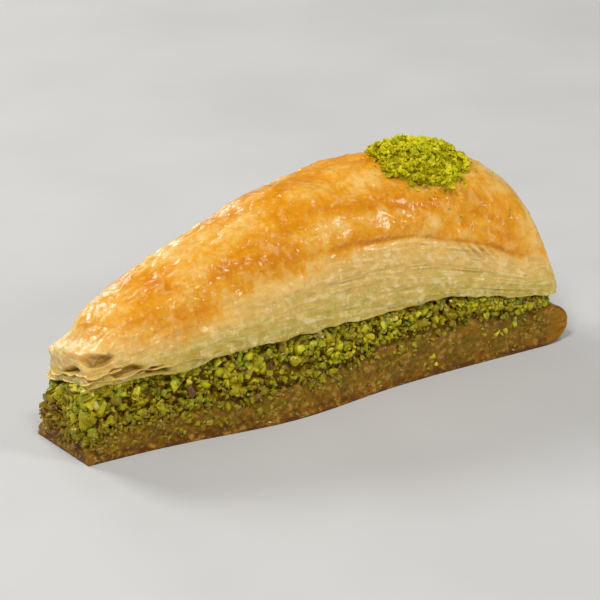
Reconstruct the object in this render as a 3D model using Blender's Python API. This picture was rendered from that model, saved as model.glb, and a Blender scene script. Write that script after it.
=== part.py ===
"""A piece of pistachio baklava: the long wedge that is cut from a big round tray.

Frame: metres, +Z up. +X runs along the wedge, from its cut tip to its round rim, and the origin is in the
middle of the flat underside. The front cut face looks towards -Y and the back one towards +Y.

The wedge is four solids that lie on each other with a hair's gap: a dense lower stack of pastry sheets soaked
in syrup, a layer of chopped pistachio, an upper stack whose browned top has puffed into a dome, and a small
heap of ground pistachio on that dome.

A place on the wedge is given by two shares: along, from 0 at the tip to 1 at the rim, and across, from -1 at
the front cut face to +1 at the back one.
"""

import math

import bmesh
import bpy

# The wedge in plan.
LENGTH = 0.1415
TIP_HALF_WIDTH = 0.0111
HALF_ANGLE = math.radians(6.5)
RIM_RADIUS = LENGTH + TIP_HALF_WIDTH / math.tan(HALF_ANGLE)
BELLY = 0.0042  # how far the soft front of the lower stack swells
BELLY_AT, BELLY_SPREAD = 0.38, 0.18

# Heights of the layers.
LOWER_TIP_HEIGHT, LOWER_RIM_HEIGHT = 0.0072, 0.0118
FILLING_TOP, FILLING_RIM_TAPER, TAPER_FROM = 0.0203, 0.0065, 0.68
TIP_DROOP, DROOP_REACH = 0.0066, 0.09  # the upper stack hangs down at the tip's back corner
GAP, HEAP_GAP = 0.0003, 0.0006
HAIR = 0.0001  # a solid stops this short of where its rounded end would close
RIM_ROUND_SHARE = 0.62  # rounding of the lower stack's rim end, as a share of its height

# The dome of the upper stack: its ridge, and the folds where it turns down into the cut faces.
RIDGE_AT, RIDGE_HEIGHT, RIDGE_TIP_DROP, RIDGE_RIM_DROP = 0.63, 0.0532, 0.0250, 0.0150
RIDGE_POWERS = (1.7, 2.6)  # how suddenly the ridge falls towards the tip and towards the rim
FOLD_AT, FOLD_HEIGHT, FOLD_TIP_DROP, FOLD_RIM_DROP = 0.45, 0.0400, 0.0150, 0.0235
FOLD_POWERS = (1.4, 2.4)
DOME_FULLNESS, DOME_SHOULDER = 2.2, 0.55  # the dome's cross-section between its two folds
WALL_LEAN, WALL_POWER = 0.0030, 1.6  # how far a cut face leans in between the filling and the fold
UPPER_TIP_SETBACK, UPPER_RIM_SETBACK = 0.0008, 0.0032
TIP_SKEW, SKEW_REACH = 0.0030, 0.22  # the tip of the upper stack slants back towards its far corner
NOSE_ROUNDING, RIM_ROUNDING = 0.0135, 0.0090
NOSE_POWER, RIM_POWER = 2.1, 2.9

# The filling, which stands a little back from the cut faces.
FILLING_SETBACK, FILLING_LUMP = 0.0012, 0.0007
FILLING_TIP_SETBACK, FILLING_RIM_SETBACK = 0.0008, 0.0055

# The heap of ground pistachio.
HEAP_ALONG, HEAP_ACROSS = 0.764, -0.17
HEAP_LENGTH, HEAP_WIDTH, HEAP_HEIGHT = 0.0310, 0.0190, 0.0042
HEAP_LIP = 0.0008  # thickness of the heap's outer edge
HEAP_TURNS = 28


def smooth_step(low, high, value):
    """0 below low, 1 above high, and a smooth rise between them."""
    share = min(max((value - low) / (high - low), 0.0), 1.0)
    return share * share * (3 - 2 * share)


def half_width(along):
    return TIP_HALF_WIDTH + along * LENGTH * math.tan(HALF_ANGLE)


def station(along, y):
    """x of a place on the wedge, whose cross-lines bend from straight at the tip into the rim's arc."""
    arc = math.sqrt(RIM_RADIUS**2 - y**2) - RIM_RADIUS
    return (along - 0.5) * LENGTH + arc * smooth_step(0.4, 1.0, along)


def belly(along, z):
    """How far the front cut face swells at this height."""
    return BELLY * math.exp(-(((along - BELLY_AT) / BELLY_SPREAD) ** 2)) * (1 - 0.7 * min(z / FILLING_TOP, 1))


def place(along, across, z, width):
    """The point at this share of a layer's half width, swollen at the front."""
    y = across * width
    if across < 0:
        y += across * belly(along, z)
    return (station(along, y), y, z)


def slanted(along, across):
    """The share along the wedge once the upper stack's tip is slanted back."""
    slant = TIP_SKEW * (1 + across) / 2 * (1 - smooth_step(0.0, SKEW_REACH, along))
    return along + slant / LENGTH


def lower_top(along):
    return LOWER_TIP_HEIGHT + (LOWER_RIM_HEIGHT - LOWER_TIP_HEIGHT) * smooth_step(0.3, 0.75, along)


def filling_top(along, across):
    level = FILLING_TOP - FILLING_RIM_TAPER * smooth_step(TAPER_FROM, 1.0, along)
    droop = TIP_DROOP * math.exp(-((along / DROOP_REACH) ** 2)) * smooth_step(-1.0, 1.0, across)
    return level - droop


def dropped(height, at, tip_drop, rim_drop, powers, along):
    """A height that falls away from its highest place towards both ends."""
    if along < at:
        return height - tip_drop * ((at - along) / at) ** powers[0]
    return height - rim_drop * ((along - at) / (1 - at)) ** powers[1]


def ridge_height(along):
    return dropped(RIDGE_HEIGHT, RIDGE_AT, RIDGE_TIP_DROP, RIDGE_RIM_DROP, RIDGE_POWERS, along)


def fold_height(along):
    return dropped(FOLD_HEIGHT, FOLD_AT, FOLD_TIP_DROP, FOLD_RIM_DROP, FOLD_POWERS, along)


def wrinkle(along, across):
    """The uneven puffing of the dome, as a share of its rise over the folds."""
    return (
        0.035 * math.sin(31.0 * along + 2.1 * across)
        + 0.030 * math.sin(17.0 * along - 3.3 * across + 1.0)
        + 0.020 * math.sin(53.0 * along + 5.0 * across + 2.0)
    )


def dome_height(along, across):
    """Height of the browned top at this share of its own half width."""
    fold, ridge = fold_height(along), ridge_height(along)
    rise = max(1 - abs(across) ** DOME_FULLNESS, 0.0) ** DOME_SHOULDER
    return fold + (ridge - fold) * rise * (1 + wrinkle(along, across))


def end_scale(along, setbacks, roundings, powers):
    """How far a section has shrunk where an end is rounded over, from 1 to 0 at the end itself."""
    from_tip = along * LENGTH - setbacks[0]
    from_rim = (1 - along) * LENGTH - setbacks[1]
    scale = 1.0
    for left, rounding, power in zip((from_tip, from_rim), roundings, powers, strict=True):
        if left < rounding:
            share = 1 - max(left, 0.0) / rounding
            scale *= max(1 - share**power, 0.0) ** (1 / power)
    return scale


def shares(low, high, count):
    return [low + (high - low) * i / (count - 1) for i in range(count)]


def stations(first, last, count, tip_crowding, rim_crowding):
    """Shares along the wedge, closer together towards a crowded end."""
    found = []
    for t in shares(0.0, 1.0, count):
        eased = t - tip_crowding * math.sin(2 * math.pi * t) / (2 * math.pi) * (1 - t)
        eased -= rim_crowding * math.sin(2 * math.pi * t) / (2 * math.pi) * t
        found.append(first + (last - first) * eased)
    return found


def material(name, colour, roughness):
    made = bpy.data.materials.new(name)
    made.use_nodes = True
    shader = made.node_tree.nodes["Principled BSDF"]
    shader.inputs["Base Color"].default_value = (*colour, 1.0)
    shader.inputs["Roughness"].default_value = roughness
    shader.inputs["Metallic"].default_value = 0.0
    return made


def solid(name, rings, finish):
    """One closed object skinned over rings of points, each end closed by a fan round its middle."""
    shape = bmesh.new()
    loops = [[shape.verts.new(point) for point in ring] for ring in rings]
    size = len(loops[0])
    for here, there in zip(loops, loops[1:]):
        for i in range(size):
            j = (i + 1) % size
            shape.faces.new((here[i], here[j], there[j], there[i]))
    for loop in (loops[0], loops[-1]):
        middle = [sum(vert.co[axis] for vert in loop) / size for axis in range(3)]
        hub = shape.verts.new(middle)
        for i in range(size):
            shape.faces.new((loop[i], loop[(i + 1) % size], hub))
    bmesh.ops.recalc_face_normals(shape, faces=shape.faces)
    mesh = bpy.data.meshes.new(name)
    shape.to_mesh(mesh)
    shape.free()
    mesh.materials.append(finish)
    mesh.shade_smooth()
    mesh.set_sharp_from_angle(angle=math.radians(50))
    made = bpy.data.objects.new(name, mesh)
    bpy.context.scene.collection.objects.link(made)
    return made


def box_outline(columns, rows):
    """(across, share of the height) round a box-like section, starting along its floor."""
    sides = shares(0.0, 1.0, rows)[1:-1]
    outline = [(across, 0.0) for across in shares(-1.0, 1.0, columns)]
    outline += [(1.0, share) for share in sides]
    outline += [(across, 1.0) for across in shares(1.0, -1.0, columns)]
    return outline + [(-1.0, share) for share in reversed(sides)]


def lower_ring(along):
    """A section of the lower stack, whose rim end is a full round."""
    width, top = half_width(along), lower_top(along)
    scale = end_scale(along, (0.0, 0.0), (0.0, top * RIM_ROUND_SHARE), (2.0, 2.0))
    ring = []
    for across, share in box_outline(7, 5):
        ring.append(place(along, across, top / 2 + (share - 0.5) * top * scale, width))
    return ring


def filling_ring(along):
    """A section of the chopped nuts, uneven along its sides, whose tip leans back up to the upper stack."""
    ring = []
    for across, share in box_outline(7, 5):
        here = along + (slanted(along, across) - along) * share
        floor = lower_top(here) + GAP
        z = floor + share * (filling_top(here, across) - floor)
        lump = FILLING_LUMP * math.sin(95 * along + 4 * share + across) * math.sin(61 * along - 5 * share)
        ring.append(place(here, across, z, half_width(along) - FILLING_SETBACK + lump))
    return ring


def upper_ring(along):
    """A section of the upper stack: flat below, leaning cut faces, and the dome."""
    setbacks, roundings = (UPPER_TIP_SETBACK, UPPER_RIM_SETBACK), (NOSE_ROUNDING, RIM_ROUNDING)
    scale = end_scale(along, setbacks, roundings, (NOSE_POWER, RIM_POWER))

    def point(across, lean, share, crown):
        """The point at this share of the way from the underside up to the crown, leaning in as it says."""
        here = slanted(along, across)
        floor = filling_top(here, across) + GAP
        width = half_width(along) - WALL_LEAN * lean * scale
        return place(here, across, floor + share * (crown - floor) * scale, width)

    ring = [point(across, 0.0, 0.0, 0.0) for across in shares(-1.0, 1.0, 9)]
    walls = shares(0.0, 1.0, 6)[1:-1]
    ring += [point(1.0, share**WALL_POWER, share, dome_height(along, 1.0)) for share in walls]
    for angle in shares(0.0, math.pi, 17):
        across = math.cos(angle)
        ring.append(point(across, 1.0, 1.0, dome_height(along, across)))
    front = dome_height(along, -1.0)
    return ring + [point(-1.0, share**WALL_POWER, share, front) for share in reversed(walls)]


def crust_point(x, y):
    """The browned top's height over a place in plan, from the shares that it stands for."""
    along = x / LENGTH + 0.5
    for _ in range(3):
        along -= (station(along, y) - x) / LENGTH
    return dome_height(along, y / (half_width(along) - WALL_LEAN))


def heap_rings():
    """The heap's skin as rings round its top, over its edge and back in along the crust."""
    centre_y = HEAP_ACROSS * half_width(HEAP_ALONG)
    centre_x = station(HEAP_ALONG, centre_y)
    turns = shares(0.0, 2 * math.pi, HEAP_TURNS + 1)[:-1]
    top_shares, under_shares = (0.12, 0.35, 0.58, 0.78, 0.93, 1.0), (1.0, 0.7, 0.35)
    rings = []
    for share, is_top in [(s, True) for s in top_shares] + [(s, False) for s in under_shares]:
        ring = []
        for turn in turns:
            edge = 1 + 0.10 * math.sin(3 * turn + 0.6) + 0.06 * math.sin(5 * turn + 2.0)
            edge += 0.04 * math.sin(8 * turn)
            x = centre_x + math.cos(turn) * share * edge * HEAP_LENGTH / 2
            y = centre_y + math.sin(turn) * share * edge * HEAP_WIDTH / 2
            z = crust_point(x, y) + HEAP_GAP
            if is_top:
                lump = 1 + 0.10 * math.sin(9 * share + 3 * turn) + 0.08 * math.sin(4 * turn + 1.0)
                z += HEAP_HEIGHT * (1 - share**2.2) ** 0.8 * lump + HEAP_LIP
            ring.append((x, y, z))
        rings.append(ring)
    return rings


def main():
    for old in list(bpy.data.objects):
        bpy.data.objects.remove(old)
    soaked = material("soaked_pastry", (0.36, 0.19, 0.05), 0.35)
    nuts = material("chopped_pistachio", (0.30, 0.33, 0.05), 0.55)
    browned = material("browned_pastry", (0.80, 0.46, 0.12), 0.30)
    ground = material("ground_pistachio", (0.46, 0.55, 0.05), 0.75)
    last = 1 - HAIR / LENGTH
    solid("lower_pastry", [lower_ring(u) for u in stations(1 - last, last, 34, 0.0, 0.85)], soaked)
    first, last = FILLING_TIP_SETBACK / LENGTH, 1 - FILLING_RIM_SETBACK / LENGTH
    solid("pistachio_filling", [filling_ring(u) for u in stations(first, last, 56, 0.0, 0.0)], nuts)
    first = (UPPER_TIP_SETBACK + 4 * HAIR) / LENGTH
    last = 1 - (UPPER_RIM_SETBACK + 8 * HAIR) / LENGTH
    solid("upper_pastry", [upper_ring(u) for u in stations(first, last, 40, 0.75, 0.6)], browned)
    solid("pistachio_heap", heap_rings(), ground)


main()
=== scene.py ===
"""Looks of a long wedge of pistachio baklava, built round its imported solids.

The wedge lies along +X with its cut tip towards -X and its round rim end towards +X. Places on it are
given by shares: along, from 0 at the tip to 1 at the rim, and across, from -1 at the front cut face (-Y)
to +1 at the back one. Lengths are in metres, apart from relief heights and size gradings in millimetres.
"""

import itertools
import logging
import math
from collections.abc import Sequence
from dataclasses import dataclass, field
from enum import Enum

import bmesh
import bpy
import numpy as np
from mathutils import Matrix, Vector
from mathutils.bvhtree import BVHTree

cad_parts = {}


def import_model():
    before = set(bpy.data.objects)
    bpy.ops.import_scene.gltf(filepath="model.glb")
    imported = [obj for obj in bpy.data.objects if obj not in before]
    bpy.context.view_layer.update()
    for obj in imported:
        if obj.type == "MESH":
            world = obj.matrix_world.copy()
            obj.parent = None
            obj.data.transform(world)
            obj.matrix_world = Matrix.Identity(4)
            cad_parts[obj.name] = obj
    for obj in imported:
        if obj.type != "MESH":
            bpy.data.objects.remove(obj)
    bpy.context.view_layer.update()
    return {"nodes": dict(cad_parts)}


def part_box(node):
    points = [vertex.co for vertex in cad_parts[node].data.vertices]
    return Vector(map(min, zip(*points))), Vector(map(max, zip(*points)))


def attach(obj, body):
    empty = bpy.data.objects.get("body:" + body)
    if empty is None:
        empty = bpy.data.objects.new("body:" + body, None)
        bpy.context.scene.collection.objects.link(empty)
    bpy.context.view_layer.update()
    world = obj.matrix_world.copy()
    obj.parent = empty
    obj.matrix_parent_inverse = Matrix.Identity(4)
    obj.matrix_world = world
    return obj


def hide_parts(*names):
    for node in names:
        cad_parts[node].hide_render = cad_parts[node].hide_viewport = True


LOG = logging.getLogger("baklava")
MM = 0.001
TINY = 1e-12
CLOSING_RINGS = 5
LAST_RING = 0.02

Array = np.ndarray
Colour = tuple[float, float, float]


class Node(str, Enum):
    """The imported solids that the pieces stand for."""

    LOWER = "lower_pastry"
    FILLING = "pistachio_filling"
    UPPER = "upper_pastry"
    HEAP = "pistachio_heap"


class Slot(str, Enum):
    """The record's material slots."""

    SOAKED = "soaked_pastry"
    CHOPPED = "chopped_pistachio"
    BROWNED = "browned_pastry"
    GROUND = "ground_pistachio"


# --------------------------------------------------------------------------------------------------------
# Shared tools
# --------------------------------------------------------------------------------------------------------


def smooth_step(low: float, high: float, value: Array) -> Array:
    """Eases from 0 below low to 1 above high.

    Args:
        low: Where the rise starts.
        high: Where the rise ends.
        value: The values to ease.

    Returns:
        Shares from 0 to 1.
    """
    share = np.clip((np.asarray(value, float) - low) / (high - low), 0.0, 1.0)
    return share * share * (3 - 2 * share)


def bell(value: Array, middle: Array | float, reach: Array | float) -> Array:
    """A soft hump of height 1 round middle, as wide as reach."""
    return np.exp(-(((np.asarray(value, float) - middle) / reach) ** 2))


def stacked(x: Array | float, y: Array | float, z: Array | float = 0.0) -> Array:
    """Points from three arrays, stretched to one shape."""
    return np.stack(np.broadcast_arrays(x, y, z), axis=-1)


def unit(vectors: Array) -> Array:
    """Vectors brought to length 1."""
    return vectors / np.maximum(np.linalg.norm(vectors, axis=-1, keepdims=True), TINY)


class Unevenness:
    """Smooth seeded noise, for shapes that no knife or oven makes even."""

    CELLS = 256
    GAIN = 1.6
    LAYERED_SUM = 1.4
    OCTAVE_SHIFT = 7.3
    CREASE_POWER = 1.5
    PUSH_SHIFTS = (3.1, 5.7, 9.4)

    def __init__(self, seed: int) -> None:
        """Draws the lattice that the noise is read from.

        Args:
            seed: Seed of the draws.
        """
        rng = np.random.default_rng(seed)
        self._order = rng.permutation(self.CELLS)
        self._slopes = unit(rng.normal(size=(self.CELLS, 3)))

    def at(self, points: Array, wavelength: float = 1.0) -> Array:
        """Reads the noise at some points.

        Args:
            points: Places, as an array whose last axis is x, y, z.
            wavelength: Rough size of one hump, in the points' unit.

        Returns:
            Values from about -1 to 1.
        """
        cell = np.asarray(points, float) / wavelength
        base = np.floor(cell).astype(int)
        part = cell - base
        ease = part**3 * (part * (part * 6 - 15) + 10)
        total = np.zeros(cell.shape[:-1])
        last = self.CELLS - 1
        for corner in itertools.product((0, 1), repeat=3):
            place = (base + corner) & last
            index = self._order[place[..., 2]]
            index = self._order[(place[..., 1] + index) & last]
            index = self._order[(place[..., 0] + index) & last]
            weight = np.prod(np.where(np.array(corner, bool), ease, 1 - ease), axis=-1)
            total += weight * np.sum(self._slopes[index] * (part - corner), axis=-1)
        return total * self.GAIN

    def layered(self, points: Array, wavelength: float = 1.0, octaves: int = 3) -> Array:
        """Adds ever finer and weaker noise.

        Args:
            points: Places, as an array whose last axis is x, y, z.
            wavelength: Size of the largest hump.
            octaves: How many sizes are added, each half of the one before.

        Returns:
            Values from about -1 to 1.
        """
        total = np.zeros(np.asarray(points).shape[:-1])
        for octave in range(octaves):
            shifted = np.asarray(points) + self.OCTAVE_SHIFT * octave
            total += self.at(shifted, wavelength / 2**octave) / 2**octave
        return total / self.LAYERED_SUM

    def creases(self, points: Array, wavelength: float, width: float) -> Array:
        """Thin meandering lines, such as the wrinkles of a skin.

        Args:
            points: Places, as an array whose last axis is x, y, z.
            wavelength: Rough spacing of the lines.
            width: Share of the spacing that a line takes.

        Returns:
            1 along the middle of each line, 0 away from them.
        """
        return np.clip(1 - np.abs(self.at(points, wavelength)) / width, 0.0, 1.0) ** self.CREASE_POWER

    def billows(self, points: Array, wavelength: float) -> Array:
        """Rounded puffs with narrow valleys between them, 0 in the valleys."""
        return np.abs(self.at(points, wavelength))

    def swirled(self, points: Array, reach: float, wavelength: float) -> Array:
        """Points pushed about by up to a reach, so that what is read at them looks swirled."""
        moved = [np.asarray(points) + shift * wavelength for shift in self.PUSH_SHIFTS]
        return points + reach * np.stack([self.at(place, wavelength) for place in moved], axis=-1)


@dataclass
class Skin:
    """A mesh in the making: points, faces and the values that its finish reads."""

    points: Array
    faces: Array
    values: dict[str, Array] = field(default_factory=dict)

    @staticmethod
    def joined(skins: Sequence["Skin"]) -> "Skin":
        """Puts several skins into one.

        Args:
            skins: Skins that carry the same values and the same kind of face.

        Returns:
            One skin with all their points and faces.
        """
        starts = np.cumsum([0] + [len(skin.points) for skin in skins])
        points = np.concatenate([skin.points for skin in skins])
        faces = np.concatenate([skin.faces + start for skin, start in zip(skins, starts)])
        names = skins[0].values
        values = {name: np.concatenate([skin.values[name] for skin in skins]) for name in names}
        return Skin(points, faces, values)

    def made(self, name: str, finish: bpy.types.Material, sharp: float | None = None) -> bpy.types.Object:
        """Turns the skin into a shown piece of the wedge.

        Args:
            name: The piece's name.
            finish: Its material.
            sharp: Angle in degrees over which an edge stays sharp, or None for all smooth.

        Returns:
            The piece, riding on the wedge's one body.
        """
        mesh = bpy.data.meshes.new(name)
        count, size = self.faces.shape
        mesh.vertices.add(len(self.points))
        mesh.vertices.foreach_set("co", self.points.astype(np.float32).ravel())
        mesh.loops.add(count * size)
        mesh.loops.foreach_set("vertex_index", self.faces.astype(np.int32).ravel())
        mesh.polygons.add(count)
        mesh.polygons.foreach_set("loop_start", np.arange(0, count * size, size, dtype=np.int32))
        mesh.update(calc_edges=True)
        mesh.validate()
        for key, value in self.values.items():
            layer = mesh.attributes.new(key, "FLOAT", "POINT")
            layer.data.foreach_set("value", np.asarray(value, np.float32))
        mesh.shade_smooth()
        if sharp is not None:
            mesh.set_sharp_from_angle(angle=math.radians(sharp))
        mesh.materials.append(finish)
        piece = bpy.data.objects.new(name, mesh)
        bpy.context.scene.collection.objects.link(piece)
        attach(piece, "root")
        LOG.info("%s: %d points, %d triangles", name, len(self.points), count * (size - 2))
        return piece


def outward(rings: Array) -> Array:
    """Normals of a tube whose rings run anticlockwise as seen from its far end.

    Args:
        rings: Points, as rings by points in a ring by x, y, z.

    Returns:
        A unit vector at each point.
    """
    onward = np.gradient(rings, axis=0)
    round_it = np.roll(rings, -1, axis=1) - np.roll(rings, 1, axis=1)
    return unit(np.cross(round_it, onward))


def raised(rings: Array, relief: Array) -> Array:
    """Rings of points moved outwards by a relief."""
    return rings + outward(rings) * relief[..., None]


def box_section(side_points: int, flat_points: int) -> tuple[Array, Array]:
    """Round a four-sided section, from its back bottom corner up, over the top, down and back.

    Args:
        side_points: How many points stand on each side.
        flat_points: How many lie on the top, and on the bottom.

    Returns:
        Shares across and shares up, each as one row.
    """
    up = np.linspace(0.0, 1.0, side_points, endpoint=False)
    flat = np.linspace(1.0, -1.0, flat_points, endpoint=False)
    across = np.concatenate([np.ones_like(up), flat, -np.ones_like(up), -flat])
    share = np.concatenate([up, np.ones_like(flat), 1 - up, np.zeros_like(flat)])
    return across[None, :], share[None, :]


def tube(rings: Array, values: dict[str, Array]) -> Skin:
    """One closed skin over rings of points, with smaller and smaller rings over each end.

    Args:
        rings: Points, as rings by an even number of points in a ring by x, y, z.
        values: Values at each of those points.

    Returns:
        The skin.
    """
    shrink = np.linspace(1.0, 0.0, CLOSING_RINGS + 1)[1:]
    shrink[-1] = LAST_RING

    def closing(ring: Array) -> Array:
        """Smaller and smaller copies of an end ring."""
        middle = ring.mean(axis=0)
        return middle + (ring - middle) * shrink[:, None, None]

    def lengthened(value: Array) -> Array:
        """A value repeated over both closings."""
        first, last = (np.repeat(end, CLOSING_RINGS, 0) for end in (value[:1], value[-1:]))
        return np.concatenate([first, value, last])

    rings = np.concatenate([closing(rings[0])[::-1], rings, closing(rings[-1])])
    rows, columns = rings.shape[:2]
    row, column = np.meshgrid(np.arange(rows - 1), np.arange(columns), indexing="ij")
    beside = (column + 1) % columns
    corners = [row * columns + column, row * columns + beside]
    corners += [(row + 1) * columns + beside, (row + 1) * columns + column]
    faces = np.stack([corner.ravel() for corner in corners], axis=1)
    low = np.arange(columns // 2 - 1)
    across = np.stack([low, low + 1, columns - 2 - low, columns - 1 - low], axis=1)
    faces = np.concatenate([across[:, ::-1], faces, across + (rows - 1) * columns])
    carried = {name: lengthened(value).ravel() for name, value in values.items()}
    return Skin(rings.reshape(-1, 3), faces, carried)


# --------------------------------------------------------------------------------------------------------
# Finishes
# --------------------------------------------------------------------------------------------------------

Socket = bpy.types.NodeSocket
Fed = Socket | float | Sequence[float]
Stops = Sequence[tuple[float, Colour]]


class Recipe:
    """Puts one finish together out of procedural nodes."""

    def __init__(self, name: str) -> None:
        """Starts a material that holds only its Principled shader.

        Args:
            name: The material's name.
        """
        self.material = bpy.data.materials.new(name)
        self.material.use_nodes = True
        self._tree = self.material.node_tree
        self._shader = self._tree.nodes["Principled BSDF"]
        self.place = self._tree.nodes.new("ShaderNodeTexCoord").outputs["Object"]

    def _feed(self, entry: Socket, value: Fed) -> None:
        """Links a socket or sets a plain value.

        Args:
            entry: The input that is fed.
            value: What goes into it.
        """
        if isinstance(value, bpy.types.NodeSocket):
            self._tree.links.new(value, entry)
        else:
            entry.default_value = value

    def _node(self, kind: str, fed: dict[str | int, Fed], **settings: object) -> bpy.types.Node:
        """Adds a node.

        Args:
            kind: The node's type.
            fed: What goes into its inputs.
            settings: Its other settings.

        Returns:
            The node.
        """
        node = self._tree.nodes.new(kind)
        for name, value in settings.items():
            setattr(node, name, value)
        for entry, value in fed.items():
            self._feed(node.inputs[entry], value)
        return node

    def value(self, name: str) -> Socket:
        """A value that the mesh carries at each point."""
        return self._node("ShaderNodeAttribute", {}, attribute_name=name).outputs["Fac"]

    def together(self, x: Fed, y: Fed, z: Fed = 0.0) -> Socket:
        """Makes a place out of three values."""
        return self._node("ShaderNodeCombineXYZ", {"X": x, "Y": y, "Z": z}).outputs["Vector"]

    def noise(
        self, size: float, detail: float, swirl: float = 0.0, place: Socket | None = None
    ) -> Socket:
        """Cloudy noise.

        Args:
            size: Size of one cloud, in the unit of the places.
            detail: How many finer sizes are added.
            swirl: How much the clouds swirl.
            place: Places to read it at, or None for the object's own.

        Returns:
            Values round 0.5.
        """
        fed = {"Vector": place or self.place, "Scale": 1 / size, "Detail": detail, "Distortion": swirl}
        return self._node("ShaderNodeTexNoise", fed).outputs["Fac"]

    def lines(
        self, along: Socket, up: Socket, density: tuple[float, float], detail: float, swirl: float
    ) -> Socket:
        """Long thin clouds that run along the wedge, as the sheets' edges do.

        Args:
            along: Shares along the wedge.
            up: Shares up the cut face.
            density: How many clouds there are over each of them.
            detail: How many finer sizes are added.
            swirl: How much the clouds swirl.

        Returns:
            Values round 0.5.
        """
        place = self.together(self.times(along, density[0]), self.times(up, density[1]))
        return self.noise(1.0, detail, swirl, place)

    def cells(self, size: float) -> Socket:
        """Rounded cells, as the distance from each one's middle."""
        fed = {"Vector": self.place, "Scale": 1 / size, "Smoothness": 0.5}
        return self._node("ShaderNodeTexVoronoi", fed, feature="SMOOTH_F1").outputs["Distance"]

    def ramp(self, value: Socket, stops: Stops) -> Socket:
        """Colours a value.

        Args:
            value: Values from 0 to 1.
            stops: Places on the ramp and their colours.

        Returns:
            The colour.
        """
        node = self._node("ShaderNodeValToRGB", {"Fac": value})
        ramp = node.color_ramp
        while len(ramp.elements) < len(stops):
            ramp.elements.new(0.5)
        for element, (position, colour) in zip(ramp.elements, stops, strict=True):
            element.position = position
            element.color = (*colour, 1.0)
        return node.outputs["Color"]

    def grey(self, value: Socket, low: float, high: float) -> Socket:
        """Spreads a cloudy value over low to high, for roughness."""
        return self.ramp(value, ((0.3, (low,) * 3), (0.7, (high,) * 3)))

    def levels(self, value: Socket, low: float, high: float) -> Socket:
        """Spreads the values between low and high over 0 to 1, eased."""
        fed = {"Value": value, "From Min": low, "From Max": high}
        return self._node("ShaderNodeMapRange", fed, interpolation_type="SMOOTHSTEP").outputs["Result"]

    def times(self, first: Fed, second: Fed) -> Socket:
        """The product of two values."""
        return self._node("ShaderNodeMath", {0: first, 1: second}, operation="MULTIPLY").outputs["Value"]

    def swing(self, value: Socket, reach: float) -> Socket:
        """A cloudy value as a swing round 0."""
        return self.times(self.plus(value, -0.5), reach)

    def veil(self, value: Socket, low: float, high: float, most: float) -> Socket:
        """Share of a colour that lies over another: 0 where the value is low, most where it is high."""
        return self.times(self.levels(value, low, high), most)

    def plus(self, *added: Fed) -> Socket:
        """The sum of two or more values.

        Args:
            added: The values.

        Returns:
            Their sum.
        """
        total = added[0]
        for value in added[1:]:
            total = self._node("ShaderNodeMath", {0: total, 1: value}, operation="ADD").outputs["Value"]
        return total

    def mix(self, share: Fed, first: Socket | Colour, second: Socket | Colour) -> Socket:
        """Mixes two colours.

        Args:
            share: 0 for the first, 1 for the second.
            first: First colour.
            second: Second colour.

        Returns:
            The mixed colour.
        """
        pair = [fed if isinstance(fed, bpy.types.NodeSocket) else (*fed, 1.0) for fed in (first, second)]
        fed = {0: share, 6: pair[0], 7: pair[1]}
        return self._node("ShaderNodeMix", fed, data_type="RGBA").outputs[2]

    def relief(
        self, height: Socket, depth: float, strength: float, below: Socket | None = None
    ) -> Socket:
        """Fine relief that only the light sees.

        Args:
            height: Heights from 0 to 1.
            depth: How deep 1 is, in metres.
            strength: Share of the relief that shows.
            below: Relief that this one lies on.

        Returns:
            The bent normal.
        """
        fed = {"Height": height, "Distance": depth, "Strength": strength}
        if below is not None:
            fed["Normal"] = below
        return self._node("ShaderNodeBump", fed).outputs["Normal"]

    def done(
        self,
        colour: Socket,
        roughness: Socket,
        normal: Socket,
        wet: Socket,
        **plain: float | Sequence[float],
    ) -> None:
        """Feeds the shader.

        Args:
            colour: Base colour.
            roughness: Roughness.
            normal: The bent normal.
            wet: The bent normal of the wet coat over it.
            plain: Values for other inputs, their names in lower case with underscores.
        """
        inputs = self._shader.inputs
        named = {"Base Color": colour, "Roughness": roughness, "Normal": normal, "Coat Normal": wet}
        for name, fed in named.items():
            self._feed(inputs[name], fed)
        by_name = {entry.name.lower().replace(" ", "_"): entry for entry in inputs}
        for name, fed in plain.items():
            by_name[name].default_value = fed


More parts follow.
